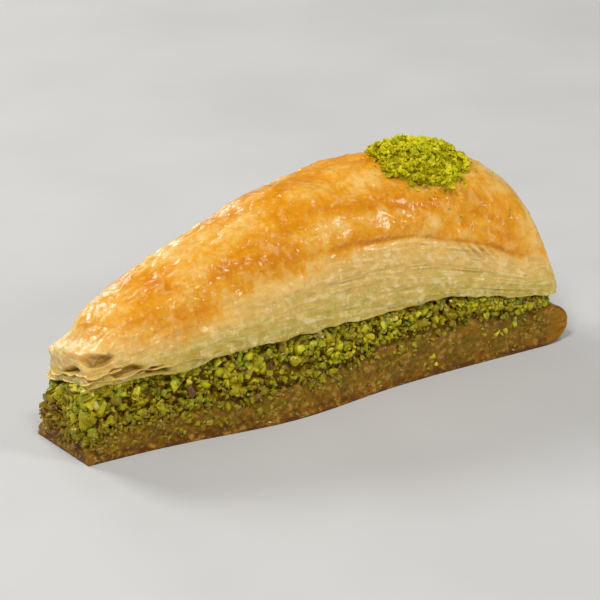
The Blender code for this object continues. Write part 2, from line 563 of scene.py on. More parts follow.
@dataclass(frozen=True)
class BrownedFinish:
    """Glazed pastry: cream layers at the cut faces, and a golden skin that browned in the oven."""

    cream: Stops = (
        (0.00, (0.50, 0.385, 0.060)),
        (0.24, (0.62, 0.460, 0.105)),
        (0.60, (0.74, 0.480, 0.135)),
        (1.00, (0.84, 0.510, 0.130)),
    )
    # Milky pale colour: partly translucent pastry, partly painted glints.
    milky_glint: Colour = (0.94, 0.78, 0.42)
    tan: Colour = (0.64, 0.340, 0.060)
    # Painted shade in the gaps between sheets, between pleats and in the hollows at the tip.
    gap: Colour = (0.34, 0.19, 0.012)
    crust: Stops = (
        (0.05, (0.90, 0.56, 0.150)),
        (0.36, (0.83, 0.38, 0.018)),
        (0.66, (0.74, 0.27, 0.001)),
        (1.00, (0.60, 0.180, 0.001)),
    )
    stain: Colour = (0.60, 0.25, 0.060)
    # Pale peach of the crust's strokes, partly painted sheen.
    peach_sheen: Colour = (0.92, 0.56, 0.190)
    syrup: Colour = (0.74, 0.26, 0.001)
    line_density: tuple[float, float] = (16.0, 15.0)
    line_swirl: float = 0.4
    blotch_size: float = 3.4 * MM
    mottle_size: float = 1.5 * MM
    fine_size: float = 0.5 * MM
    bead_size: float = 2.0 * MM
    stroke_size: float = 3.0 * MM
    dot_size: float = 1.3 * MM
    patch_size: float = 8.0 * MM

    def made(self) -> bpy.types.Material:
        """Builds the material, which reads browning, tone, layer, gap, stain and along from the mesh.

        Returns:
            The material.
        """
        recipe = Recipe("browned_pastry")
        browning, tone, layer = recipe.value("browning"), recipe.value("tone"), recipe.value("layer")
        gap, stain, along = recipe.value("gap"), recipe.value("stain"), recipe.value("along")
        lines = recipe.lines(along, layer, self.line_density, 4.0, self.line_swirl)
        blotches = recipe.noise(self.blotch_size, 2.0, 0.6)
        mottle = recipe.noise(self.mottle_size, 3.0, 0.5)
        fine = recipe.noise(self.fine_size, 2.0)
        beads = recipe.noise(self.bead_size, 1.0, 0.4)
        strokes = recipe.noise(self.stroke_size, 2.5, 0.6)
        patches = recipe.noise(self.patch_size, 1.0)
        dots = recipe.cells(self.dot_size)
        swing = recipe.plus(recipe.times(mottle, 0.8), recipe.times(fine, 0.2), -0.5)

        # The cut faces: cream sheets with duller stretches, and milky stretches that are partly pale
        # translucent pastry and partly painted glints.
        level = recipe.plus(layer, recipe.swing(blotches, 0.9), recipe.times(swing, 0.3))
        streaked = recipe.veil(recipe.plus(lines, recipe.times(swing, 0.9)), 0.50, 0.72, 0.40)
        milky_glint_share = recipe.plus(streaked, recipe.veil(strokes, 0.52, 0.66, 0.30))
        cream = recipe.mix(milky_glint_share, recipe.ramp(level, self.cream), self.milky_glint)
        clouded = recipe.plus(lines, recipe.times(blotches, 0.5), recipe.times(swing, 0.4))
        cream = recipe.mix(recipe.veil(clouded, 0.72, 0.50, 0.42), cream, self.tan)

        # The crust: golden brown with stains, syrupy strokes, and paler peach strokes that are partly
        # painted sheen.
        toasted = recipe.ramp(recipe.plus(tone, recipe.times(swing, 0.75)), self.crust)
        toasted = recipe.mix(recipe.times(stain, recipe.levels(mottle, 0.35, 0.62)), toasted, self.stain)
        toasted = recipe.mix(recipe.veil(strokes, 0.53, 0.68, 0.40), toasted, self.peach_sheen)
        toasted = recipe.mix(recipe.veil(strokes, 0.47, 0.34, 0.40), toasted, self.syrup)

        # The crust over the cream, then pale dots that are partly pale bubbles and partly painted glints,
        # and painted shade in the gaps between sheets and pleats and in the hollows at the tip.
        share = recipe.plus(browning, recipe.times(swing, 0.6), recipe.swing(blotches, 0.5))
        colour = recipe.mix(recipe.levels(share, 0.08, 0.92), cream, toasted)
        glint_speckles = recipe.times(recipe.levels(dots, 0.36, 0.10), recipe.levels(blotches, 0.46, 0.60))
        colour = recipe.mix(recipe.times(glint_speckles, 0.28), colour, self.milky_glint)
        colour = recipe.mix(recipe.times(gap, 0.70), colour, self.gap)

        # Lines show in relief on the cut faces only; beads of glaze lie in patches.
        ridges = recipe.times(lines, recipe.plus(1.0, recipe.times(browning, -1.0)))
        bumps = recipe.plus(blotches, recipe.times(mottle, 0.4), strokes)
        edges = recipe.relief(ridges, 0.55 * MM, 0.6, recipe.relief(bumps, 0.50 * MM, 0.8))
        beaded = recipe.times(beads, recipe.plus(0.25, recipe.levels(patches, 0.44, 0.60)))
        wet = recipe.relief(ridges, 0.45 * MM, 0.6, recipe.relief(beaded, 0.85 * MM, 0.8))
        recipe.done(
            colour,
            recipe.grey(mottle, 0.36, 0.52),
            recipe.relief(fine, 0.05 * MM, 0.5, edges),
            wet,
            subsurface_weight=0.45,
            subsurface_radius=(1.0, 0.38, 0.06),
            subsurface_scale=2.2 * MM,
            specular_ior_level=0.08,
            coat_weight=0.42,
            coat_roughness=0.13,
        )
        return recipe.material


@dataclass(frozen=True)
class SoakedFinish:
    """Dense pastry full of syrup: olive amber, browner below, and wet."""

    name: str = "soaked_pastry"
    olive: Colour = (0.200, 0.118, 0.002)
    straw: Colour = (0.45, 0.285, 0.050)
    amber: Colour = (0.28, 0.118, 0.001)
    brown: Colour = (0.125, 0.038, 0.001)
    rim: Colour = (0.36, 0.150, 0.002)
    line_density: tuple[float, float] = (16.0, 9.0)
    line_swirl: float = 0.5
    cloud_size: float = 4.0 * MM
    grit_size: float = 1.3 * MM
    fine_size: float = 0.5 * MM
    bead_size: float = 1.2 * MM

    def made(self) -> bpy.types.Material:
        """Builds the material, which reads height, rim and along from the mesh.

        Returns:
            The material.
        """
        recipe = Recipe(self.name)
        height, rim, along = recipe.value("height"), recipe.value("rim"), recipe.value("along")
        lines = recipe.lines(along, height, self.line_density, 3.0, self.line_swirl)
        clouds = recipe.noise(self.cloud_size, 2.0, 0.6)
        grit = recipe.noise(self.grit_size, 2.5)
        fine = recipe.noise(self.fine_size, 1.0)
        beads = recipe.noise(self.bead_size, 1.0, 0.4)
        level = recipe.plus(height, recipe.swing(grit, 0.7))
        colour = recipe.mix(recipe.levels(level, 0.00, 0.34), self.brown, self.olive)
        warm = recipe.plus(clouds, recipe.times(lines, 0.5))
        colour = recipe.mix(recipe.veil(warm, 0.66, 0.84, 0.75), colour, self.amber)
        dull = recipe.plus(grit, recipe.times(clouds, 0.5))
        colour = recipe.mix(recipe.veil(dull, 0.72, 0.56, 0.55), colour, self.brown)
        bright = recipe.plus(grit, recipe.times(clouds, 0.4))
        colour = recipe.mix(recipe.veil(bright, 0.74, 0.88, 0.65), colour, self.straw)
        colour = recipe.mix(recipe.times(rim, 0.88), colour, self.rim)
        recipe.done(
            colour,
            recipe.grey(grit, 0.34, 0.52),
            recipe.relief(recipe.plus(grit, recipe.times(fine, 0.3)), 0.45 * MM, 0.8),
            recipe.relief(beads, 0.65 * MM, 0.8),
            subsurface_weight=0.20,
            subsurface_radius=(1.0, 0.45, 0.08),
            subsurface_scale=1.2 * MM,
            specular_ior_level=0.05,
            coat_weight=0.34,
            coat_roughness=0.10,
        )
        return recipe.material


@dataclass(frozen=True)
class NutFinish:
    """Pistachio, coloured by stops from skins and syrup to the yellow green of a fresh break."""

    name: str
    stops: Stops
    leafy: Colour
    roughness: tuple[float, float]
    wetness: float
    fleck_size: float
    leaf_size: float = 3.5 * MM

    def made(self) -> bpy.types.Material:
        """Builds the material, which reads tone from the mesh.

        Returns:
            The material.
        """
        recipe = Recipe(self.name)
        flecks = recipe.noise(self.fleck_size, 3.0)
        leaves = recipe.noise(self.leaf_size, 1.0)
        tone = recipe.plus(recipe.value("tone"), recipe.swing(flecks, 0.30))
        grain = recipe.relief(flecks, 0.15 * MM, 0.6)
        greener = recipe.times(recipe.levels(leaves, 0.50, 0.64), recipe.levels(tone, 0.34, 0.60))
        recipe.done(
            recipe.mix(recipe.times(greener, 0.6), recipe.ramp(tone, self.stops), self.leafy),
            recipe.grey(flecks, *self.roughness),
            grain,
            grain,
            subsurface_weight=0.20,
            subsurface_radius=(1.0, 0.9, 0.1),
            subsurface_scale=0.6 * MM,
            specular_ior_level=0.15,
            coat_weight=self.wetness,
            coat_roughness=0.12,
        )
        return recipe.material


CHOPPED = NutFinish(
    name="chopped_pistachio",
    stops=(
        (0.00, (0.075, 0.028, 0.010)),
        (0.12, (0.180, 0.072, 0.045)),
        (0.24, (0.350, 0.200, 0.012)),
        (0.38, (0.220, 0.150, 0.004)),
        (0.54, (0.340, 0.255, 0.005)),
        (0.72, (0.500, 0.425, 0.008)),
        (0.88, (0.700, 0.615, 0.022)),
        (1.00, (0.820, 0.660, 0.180)),
    ),
    leafy=(0.210, 0.300, 0.010),
    roughness=(0.36, 0.60),
    wetness=0.28,
    fleck_size=0.8 * MM,
)
GROUND = NutFinish(
    name="ground_pistachio",
    stops=(
        (0.00, (0.170, 0.125, 0.001)),
        (0.30, (0.420, 0.350, 0.002)),
        (0.65, (0.760, 0.680, 0.010)),
        (1.00, (0.940, 0.850, 0.060)),
    ),
    leafy=(0.420, 0.500, 0.006),
    roughness=(0.60, 0.85),
    wetness=0.0,
    fleck_size=0.5 * MM,
)


# --------------------------------------------------------------------------------------------------------
# The wedge's form
# --------------------------------------------------------------------------------------------------------


@dataclass(frozen=True)
class Wedge:
    """The form that all the layers share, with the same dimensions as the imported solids."""

    length: float
    tip_half_width: float = 11.1 * MM
    half_angle: float = math.radians(6.5)
    belly: float = 4.2 * MM
    belly_at: float = 0.38
    belly_spread: float = 0.18
    lower_tip_height: float = 7.2 * MM
    lower_rim_height: float = 11.8 * MM
    filling_level: float = 20.3 * MM
    filling_taper: float = 6.5 * MM
    taper_from: float = 0.68
    droop: float = 6.6 * MM
    droop_reach: float = 0.09
    skew: float = 3.0 * MM
    skew_reach: float = 0.22
    soaked_rise: float = 3.0 * MM
    arc_from: float = 0.4
    swelling_fades: float = 0.7
    lower_rises: tuple[float, float] = (0.3, 0.75)
    soaked_fades: tuple[float, float, float] = (0.05, 0.78, 0.94)

    def half_width(self, along: Array) -> Array:
        """Half the wedge's width at a share along it."""
        return self.tip_half_width + along * self.length * math.tan(self.half_angle)

    def station(self, along: Array, y: Array) -> Array:
        """x of a place, whose cross-lines bend from straight at the tip into the rim's arc.

        Args:
            along: Shares along the wedge.
            y: Distances from the middle line.

        Returns:
            Positions along x.
        """
        radius = self.length + self.tip_half_width / math.tan(self.half_angle)
        arc = np.sqrt(radius**2 - y**2) - radius
        return (along - 0.5) * self.length + arc * smooth_step(self.arc_from, 1.0, along)

    def swelling(self, along: Array, z: Array) -> Array:
        """How far the front cut face swells at a height."""
        fading = 1 - self.swelling_fades * np.minimum(z / self.filling_level, 1)
        return self.belly * bell(along, self.belly_at, self.belly_spread) * fading

    def place(self, along: Array, across: Array | float, z: Array, width: Array) -> Array:
        """Points of the wedge.

        Args:
            along: Shares along the wedge.
            across: Shares across it.
            z: Heights.
            width: Half width of the layer there.

        Returns:
            Points, as an array whose last axis is x, y, z.
        """
        y = across * width + np.where(np.less(across, 0), across * self.swelling(along, z), 0.0)
        return stacked(self.station(along, y), y, z)

    def slanted(self, along: Array, across: Array | float) -> Array:
        """Shares along the wedge once the upper stack's tip is slanted back."""
        fading = 1 - smooth_step(0.0, self.skew_reach, along)
        return along + self.skew * (1 + across) / 2 * fading / self.length

    def leaning(self, along: Array, across: Array | float, up: Array | float) -> Array:
        """Shares along the wedge where the tip slants back a share of the way, from 0 to 1."""
        return along + (self.slanted(along, across) - along) * up

    def lower_top(self, along: Array) -> Array:
        """Height of the lower stack's top."""
        rise = self.lower_rim_height - self.lower_tip_height
        return self.lower_tip_height + rise * smooth_step(*self.lower_rises, along)

    def soaked_top(self, along: Array) -> Array:
        """Height that the syrupy pastry reaches between the nuts on the cut faces.

        Args:
            along: Shares along the wedge.

        Returns:
            The heights.
        """
        whole, less, none = self.soaked_fades
        creeping = smooth_step(0.0, whole, along) * (1 - smooth_step(less, none, along))
        return self.lower_top(along) + self.soaked_rise * creeping

    def filling_top(self, along: Array, across: Array | float) -> Array:
        """Height of the filling's top."""
        level = self.filling_level - self.filling_taper * smooth_step(self.taper_from, 1.0, along)
        return level - self.droop * bell(along, 0.0, self.droop_reach) * smooth_step(-1.0, 1.0, across)


def crowded(first: float, last: float, count: int, tip: float, rim: float) -> Array:
    """Shares along the wedge, closer together towards its ends.

    Args:
        first: Lowest share.
        last: Highest share.
        count: How many there are.
        tip: How much closer they stand at the tip, from 0 to 1.
        rim: How much closer they stand at the rim, from 0 to 1.

    Returns:
        The shares.
    """
    t = np.linspace(0.0, 1.0, count)
    wave = np.sin(2 * math.pi * t) / (2 * math.pi)
    return first + (last - first) * (t - wave * (tip * (1 - t) + rim * t))


def end_scale(left: Array, rounding: Array | float, power: float) -> Array:
    """How far a section has shrunk at a rounded end.

    Args:
        left: Distance that is left to the end.
        rounding: Distance over which the end is rounded.
        power: 2 for a full round, more for a squarer one.

    Returns:
        1 away from the end, down to 0 at it.
    """
    share = 1 - np.clip(left / rounding, 0.0, 1.0)
    return np.maximum(1 - share**power, 0.0) ** (1 / power)


# --------------------------------------------------------------------------------------------------------
# The layers
# --------------------------------------------------------------------------------------------------------


class Part(int, Enum):
    """The parts of the upper stack's skin."""

    UNDERSIDE = 0
    CUT_FACE = 1
    CRUST = 2


@dataclass(frozen=True)
class Hollow:
    """A hollow between two sheets near the tip: its middle's place, its reach each way and its depth."""

    from_tip: float
    across: float
    up: float
    wide: float
    tall: float
    depth: float


@dataclass
class Grid:
    """The upper stack's points with what each one is, all as rings by points in a ring."""

    points: Array
    along: Array
    across: Array
    share: Array
    part: Array
    scale: Array
    up: Array
    brim: Array

    @property
    def above(self) -> Array:
        """How far each point is above the brim, where the sheets' edges give way to the crust."""
        return self.up - self.brim

    @property
    def sheet(self) -> Array:
        """How far up the sheets' edges each point is, from 0 at the filling to 1 at the brim."""
        return np.clip(self.up / self.brim, 0.0, 1.0)

    def on(self, part: Part) -> Array:
        """1 where a point is on that part, 0 elsewhere."""
        return np.where(self.part == part.value, 1.0, 0.0)


@dataclass
class UpperPastry:
    """The upper stack: cut faces with their sheets' edges, and the puffed and browned crust over them."""

    wedge: Wedge
    rings: int = 376
    face_points: int = 76
    crust_points: int = 96
    base_points: int = 7
    ridge_at: float = 0.63
    ridge_height: float = 53.2 * MM
    ridge_drops: tuple[float, float] = (25.0 * MM, 15.0 * MM)
    ridge_powers: tuple[float, float] = (1.7, 2.6)
    fold_at: float = 0.45
    fold_height: float = 40.0 * MM
    fold_drops: tuple[float, float] = (15.0 * MM, 23.5 * MM)
    fold_powers: tuple[float, float] = (1.4, 2.4)
    fullness: float = 2.2
    shoulder: float = 0.55
    waves: tuple[tuple[float, float, float, float], ...] = (
        (0.035, 31, 2.1, 0),
        (0.030, 17, -3.3, 1),
        (0.020, 53, 5, 2),
    )
    lean: float = 3.0 * MM
    lean_power: float = 1.6
    hair: float = 0.05 * MM
    crowding: tuple[float, float] = (0.75, 0.6)
    floor_gap: float = 0.3 * MM
    tip_setback: float = 0.8 * MM
    rim_setback: float = 3.2 * MM
    nose_rounding: float = 13.5 * MM
    nose_power: float = 2.1
    rim_rounding: float = 9.0 * MM
    rim_power: float = 2.9
    rim_brim: float = 10.5 * MM
    sheets: float = 19.0
    pleat_wave: float = 0.52 * MM  # a pleat's length over 2 pi
    pleats_at: tuple[float, float] = (0.80, 0.88)
    pleats_reach: tuple[float, float] = (0.045, 0.10)
    lip_wrinkles: tuple[tuple[float, float], ...] = ((4.2 * MM, 0.22), (7.6 * MM, 0.12))
    blisters: int = 620
    blister_radii: tuple[float, float] = (0.4, 1.1)
    hollows: tuple[Hollow, ...] = (
        Hollow(0.6 * MM, -0.10, 2.4 * MM, 4.4 * MM, 0.9 * MM, 2.4 * MM),
        Hollow(3.8 * MM, -0.92, 4.6 * MM, 4.4 * MM, 1.4 * MM, 2.2 * MM),
        Hollow(11.0 * MM, -1.0, 1.9 * MM, 4.2 * MM, 0.8 * MM, 1.7 * MM),
        Hollow(19.0 * MM, -1.0, 1.2 * MM, 3.2 * MM, 0.6 * MM, 1.3 * MM),
        Hollow(7.0 * MM, 1.0, 2.2 * MM, 4.0 * MM, 1.0 * MM, 1.4 * MM),
    )
    seed: int = 11

    @staticmethod
    def _dropped(
        height: float,
        at: float,
        drops: tuple[float, float],
        powers: tuple[float, float],
        along: Array,
    ) -> Array:
        """A height that falls away from its highest place.

        Args:
            height: The highest height.
            at: Where that is along the wedge.
            drops: How far it falls to the tip and to the rim.
            powers: How suddenly it falls on each side.
            along: Shares along the wedge.

        Returns:
            The heights.
        """
        to_tip = np.clip((at - along) / at, 0, None) ** powers[0]
        to_rim = np.clip((along - at) / (1 - at), 0, None) ** powers[1]
        return height - drops[0] * to_tip - drops[1] * to_rim

    def fold(self, along: Array) -> Array:
        """Height of the fold between a cut face and the crust."""
        return self._dropped(self.fold_height, self.fold_at, self.fold_drops, self.fold_powers, along)

    def ridge(self, along: Array) -> Array:
        """Height of the crust's ridge."""
        return self._dropped(self.ridge_height, self.ridge_at, self.ridge_drops, self.ridge_powers, along)

    def crown(self, along: Array, across: Array) -> Array:
        """Height of the crust, smooth but for a few shallow waves.

        Args:
            along: Shares along the wedge.
            across: Shares across it.

        Returns:
            The heights.
        """
        fold = self.fold(along)
        rise = np.maximum(1 - np.abs(across) ** self.fullness, 0.0) ** self.shoulder
        wavy = sum(high * np.sin(u * along + v * across + start) for high, u, v, start in self.waves)
        return fold + (self.ridge(along) - fold) * rise * (1 + wavy)

    def face(self, along: Array, across: Array | float, share: Array | float) -> Array:
        """Points of a cut face.

        Args:
            along: Shares along the wedge.
            across: -1 for the front face, +1 for the back one.
            share: Shares of the way up from the filling to the fold.

        Returns:
            The points.
        """
        floor = self.wedge.filling_top(along, across)
        width = self.wedge.half_width(along) - self.lean * np.power(share, self.lean_power)
        return self.wedge.place(along, across, floor + share * (self.fold(along) - floor), width)

    def _section(self) -> tuple[Array, Array, Array]:
        """Round one section from the back bottom corner over the crust and back along the underside.

        Returns:
            Shares across, shares up the cut face, and the part that each point is on.
        """
        up = np.linspace(0.0, 1.0, self.face_points, endpoint=False)
        angle = np.linspace(0.0, math.pi, self.crust_points)
        base = np.linspace(-1.0, 1.0, self.base_points + 1)[1:-1]
        down = 1 - np.linspace(0.0, 1.0, self.face_points + 1)[1:]
        across = np.concatenate([np.ones_like(up), np.cos(angle), -np.ones_like(down), base])
        share = np.concatenate([up, np.ones_like(angle), down, np.zeros_like(base)])
        parts = (Part.CUT_FACE, Part.CRUST, Part.CUT_FACE, Part.UNDERSIDE)
        sizes = (len(up), len(angle), len(down), len(base))
        return across, share, np.repeat([part.value for part in parts], sizes)

    def _grid(self) -> Grid:
        """The stack before any unevenness.

        Returns:
            Its points and what each one is.
        """
        form = self.wedge
        first = (self.tip_setback + self.hair) / form.length
        last = 1 - (self.rim_setback + self.hair) / form.length
        along = crowded(first, last, self.rings, *self.crowding)[:, None]
        across, share, part = (values[None, :] for values in self._section())
        to_rim = (1 - along) * form.length - self.rim_setback
        scale = end_scale(along * form.length - self.tip_setback, self.nose_rounding, self.nose_power)
        scale = scale * end_scale(to_rim, self.rim_rounding, self.rim_power)
        here = form.slanted(along, across)
        floor = form.filling_top(here, across) + self.floor_gap
        width = form.half_width(along) - self.lean * share**self.lean_power * scale
        z = floor + share * (self.crown(here, across) - floor) * scale
        points = form.place(here, across, z, width)
        up = z - floor
        brim = np.maximum(self.fold(here) - floor, self.rim_brim * smooth_step(0.80, 0.93, along))
        facts = (along, across, share, part, scale, up, brim)
        return Grid(points, *(np.broadcast_to(fact, points.shape[:2]) for fact in facts))

    def _crust(self, rough: Unevenness, grid: Grid) -> tuple[Array, Array]:
        """The baked skin.

        Args:
            rough: Where the unevenness is read.
            grid: The smooth stack.

        Returns:
            Heights of its relief, and how deeply it browned.
        """
        # Blisters of three sizes and creases between them, livelier in some stretches, in millimetres.
        points = grid.points
        warped = rough.swirled(points, 2.4 * MM, 7 * MM)
        large = rough.billows(warped * (0.72, 1, 1), 8.2 * MM)
        small = rough.billows(warped * (0.80, 1, 1) + 1.9, 3.3 * MM)
        folds = rough.creases(warped * (0.6, 1, 1) + 0.9, 9 * MM, 0.16)
        puffs = rough.layered(points * (0.7, 1, 1), 16 * MM, 2)
        lively = 0.45 + 0.65 * smooth_step(-0.4, 0.4, rough.at(points + 0.3, 13 * MM))
        lively = lively * (1 - 0.6 * smooth_step(0.70, 0.90, grid.along))
        tiny = rough.billows(warped + 5.2, 1.8 * MM)
        height = 0.50 * puffs + (0.74 * large + 0.42 * small + 0.16 * tiny + 0.28 * folds - 0.52) * lively
        # Browner in clouds and streaks, and in the valleys between blisters.
        clouds = rough.layered(points * (0.42, 1, 1) + 2.7, 8.5 * MM, 2)
        streaks = rough.layered(points * (1, 0.22, 0.15) + 6.1, 2.2 * MM, 2)
        valleys = smooth_step(0.22, 0.0, large)
        tone = 0.45 + 0.58 * clouds + 0.10 * valleys * lively - 0.16 * large + 0.16 * streaks
        return height * MM, tone - 0.10 * smooth_step(0.80, 0.96, grid.along)

    def _faces(self, rough: Unevenness, grid: Grid) -> tuple[Array, Array]:
        """The cut faces, where the sheets end.

        Args:
            rough: Where the unevenness is read.
            grid: The smooth stack.

        Returns:
            Heights of their relief, and how much painted shade each point gets from the gaps between
            sheets and between the pleats.
        """
        # The sheets' edges, which sway, are hidden in places and fade towards the tip, in millimetres.
        along, share, across = grid.along, grid.sheet, grid.across
        sway = rough.at(stacked(along * 7, share * 2, across * 3))
        drift = 0.9 * sway + 0.4 * rough.at(stacked(along * 34, share * 5, across))
        level = share * self.sheets + drift
        edge = np.sin(math.pi * (level - np.floor(level))) ** 0.5
        shown = smooth_step(-0.1, 0.6, rough.at(stacked(along * 13, share * 8, across * 5 + 3)))
        crisp = smooth_step(0.28, 0.55, along)
        steps = rough.at(stacked(np.floor(level) * 1.7, along * 9, across * 4)) * 0.12
        bands = 0.34 * rough.layered(stacked(along * 6, share * 5 + 0.4 * sway, across * 2 + 1), 1.0, 2)
        lumps = rough.layered(grid.points * (0.7, 1, 1) + 2.2, 2.6 * MM, 2)
        height = (0.18 * (edge - 0.75) * shown + steps) * (0.2 + 0.8 * crisp) + bands + 0.22 * lumps
        dapples = rough.billows(grid.points * (1, 1, 0.7) + 3.3, 1.9 * MM) - 0.3
        height = height + (0.42 - 0.14 * crisp) * dapples
        pleats = rough.at(stacked(along * 70 + share * 5, share * 1.5, across * 2))
        height = height + 0.16 * pleats * bell(share, 0.82, 0.16) * smooth_step(0.45, 0.60, along)
        # A row of slanting pleats near the rim.
        slanting = np.sin(along * self.wedge.length / self.pleat_wave + share * 25 + 2 * sway)
        gathered = bell(share, self.pleats_at[1], self.pleats_reach[1])
        gathered = gathered * bell(along, self.pleats_at[0], self.pleats_reach[0])
        height = height + 0.75 * slanting * gathered
        # Painted shade in the gaps between the sheets' edges and between the pleats, where shade falls.
        gap = smooth_step(0.55, 0.1, edge) * shown * (0.1 + 0.3 * crisp)
        gap = gap + 0.8 * gathered * (slanting < -0.1)
        return height * MM * smooth_step(0.0, 0.05, share), gap

    def _fold_lip(self, rough: Unevenness, grid: Grid) -> tuple[Array, Array]:
        """The crust's own edge at the fold, and the wrinkles that run beside it.

        Args:
            rough: Where the unevenness is read.
            grid: The smooth stack.

        Returns:
            Heights of the relief, and how much deeper the colour is there: partly the crust's browner
            edge, partly painted shade in the crease at the fold and in the wrinkles beside it.
        """
        crisp = smooth_step(0.42, 0.60, grid.along) * (1 - smooth_step(0.86, 0.93, grid.along))
        wander = rough.layered(stacked(grid.along * 10, grid.across * 2, 0.5), 1.0, 3) * 1.6 * MM
        from_fold = grid.above + wander
        clear = 0.30 + 0.70 * smooth_step(-0.4, 0.3, rough.at(stacked(grid.along * 7, 3.3, grid.across)))
        rising = smooth_step(-0.8 * MM, 0.8 * MM, from_fold)
        step = 0.42 * (rising - smooth_step(0.8 * MM, 5.5 * MM, from_fold))
        lines = 0.18 * clear * bell(from_fold, -0.8 * MM, 0.8 * MM)
        # Deeper colour along the crease and the wrinkles beside it: partly the crust's browner edge,
        # partly painted shade.
        shade = 0.38 * clear * bell(from_fold, -0.2 * MM, 0.8 * MM)
        for up, depth in self.lip_wrinkles:
            faint = smooth_step(-0.3, 0.3, rough.at(stacked(grid.along * 8, up * 900, grid.across)))
            lines = lines + depth * faint * bell(from_fold, up + 0.8 * wander, 0.8 * MM)
            shade = shade + 0.25 * faint * bell(from_fold, up + 0.8 * wander, 0.9 * MM)
        return (step - lines) * crisp * MM, shade * crisp

    def _nose(self, rough: Unevenness, grid: Grid) -> tuple[Array, Array]:
        """The gathered sheets and the hollows at the tip.

        Args:
            rough: Where the unevenness is read.
            grid: The smooth stack.

        Returns:
            Heights of the relief, and how far each point is inside a hollow, which the finish paints as
            shade.
        """
        form = self.wedge
        up = grid.up
        near = (1 - smooth_step(0.04, 0.14, grid.along)) * (1 - grid.on(Part.UNDERSIDE))
        wavy = up + 1.8 * MM * rough.at(grid.points + 3.7, 9 * MM)
        snout = 1.5 * bell(wavy, 6.0 * MM, 2.4 * MM) - 0.9 * bell(wavy, 10.5 * MM, 2.4 * MM)
        snout = snout + 0.7 * bell(wavy, 15 * MM, 3 * MM)
        phase = wavy / (3.1 * MM) + 0.8 * rough.at(grid.points + 4.4, 7 * MM)
        wrinkles = 0.14 * np.cos(2 * math.pi * phase) * (1 - smooth_step(9 * MM, 15 * MM, up))
        at_end = 1 - smooth_step(0.02, 0.09, grid.along)
        height = MM * (snout * at_end + wrinkles * near)
        inside = np.zeros_like(up)
        for hollow in self.hollows:
            at = np.float64(hollow.from_tip / form.length)
            middle = self.face(form.slanted(at, hollow.across), hollow.across, 0.0)
            aside = np.linalg.norm(grid.points[..., :2] - middle[:2], axis=-1) / hollow.wide
            high = (up - hollow.up + 0.6 * MM * rough.at(grid.points, 4 * MM)) / hollow.tall
            window = smooth_step(1.20, 0.70, np.hypot(aside, high)) * (1 - grid.on(Part.UNDERSIDE))
            height = height - hollow.depth * window
            inside = np.maximum(inside, window)
        return height, inside

    def _blisters(self, grid: Grid) -> tuple[Array, Array]:
        """Small blisters of the crust.

        Args:
            grid: The smooth stack.

        Returns:
            Heights of the relief, and how deep the colour is there.
        """
        rng = np.random.default_rng(self.seed + 1)
        height, shade = np.zeros(grid.share.shape), np.zeros(grid.share.shape)
        baked = (grid.part != Part.UNDERSIDE.value) & (grid.above > -7 * MM) & (grid.scale > 0.8)
        rows, columns = np.nonzero(baked)
        stations = grid.along[:, 0]
        for pick in rng.integers(0, len(rows), self.blisters):
            radius = rng.uniform(*self.blister_radii) * MM
            centre = grid.points[rows[pick], columns[pick]]
            reach = 3.2 * radius / self.wedge.length
            low, high = np.searchsorted(stations, stations[rows[pick]] + np.array([-reach, reach]))
            near = (grid.points[low:high] - centre) * (rng.uniform(0.5, 1.0), 1.0, 1.0)
            far = np.sqrt((near**2).sum(-1)) / radius
            height[low:high] += rng.uniform(0.16, 0.42) * radius * bell(far, 0.0, 0.85)
            shade[low:high] -= rng.uniform(0.0, 0.12) * bell(far, 0.0, 0.8)
        return height, shade

    def _browning(self, rough: Unevenness, grid: Grid) -> Array:
        """How far each point turned from cream pastry into golden crust.

        Args:
            rough: Where the unevenness is read.
            grid: The smooth stack.

        Returns:
            Shares from 0, cream, to 1, golden.
        """
        along = grid.along
        crisp = smooth_step(0.42, 0.64, along) * (1 - 0.5 * smooth_step(0.86, 0.94, along))
        reach = (6.5 * (1 - crisp) + 1.4) * MM
        drift = rough.layered(grid.points * (0.5, 1, 1) + 5.1, 11 * MM, 2)
        drift = drift * (3.4 * (1 - crisp) + 0.8) * MM
        streaks = rough.layered(grid.points * (1, 0.3, 0.2) + 8.2, 2.4 * MM, 2)
        streaks = streaks * (1.8 * (1 - crisp) + 0.3) * MM
        spill = 0.6 + 7.5 * bell(along, 0.36, 0.15) + 2.5 * bell(along, 0.17, 0.08)
        spill = spill - 1.5 * bell(along, 0.0, 0.05)
        level = grid.above + drift + streaks + spill * MM
        return smooth_step(-1.0, 1.0, level / reach) * (1 - grid.on(Part.UNDERSIDE))

    def _hung(self, rough: Unevenness, grid: Grid, points: Array) -> Array:
        """Points once the hem is ragged, hangs lower near the tip and is tucked in at the rim.

        Args:
            rough: Where the unevenness is read.
            grid: The smooth stack.
            points: The stack's points.

        Returns:
            The points, moved.
        """
        moved = points.copy()
        ragged = rough.layered(stacked(grid.along * 26, grid.across, 0.7), 1.0, 3)
        hem = (1 - smooth_step(0.0, 0.10, grid.sheet)) * np.abs(grid.across) ** 6
        moved[..., 2] += (0.85 * ragged * hem + 0.20) * MM
        dip = 1.2 * (1 - smooth_step(0.16, 0.28, grid.along)) + 1.3 * bell(grid.along, 0.19, 0.05)
        moved[..., 2] -= dip * MM * (1 - smooth_step(0.0, 0.5, grid.sheet)) * np.abs(grid.across) ** 4
        tucked = (1 - smooth_step(0.0, 2.2 * MM, grid.up)) * smooth_step(0.93, 1.0, grid.along)
        moved[..., 0] -= 1.3 * MM * tucked
        return moved

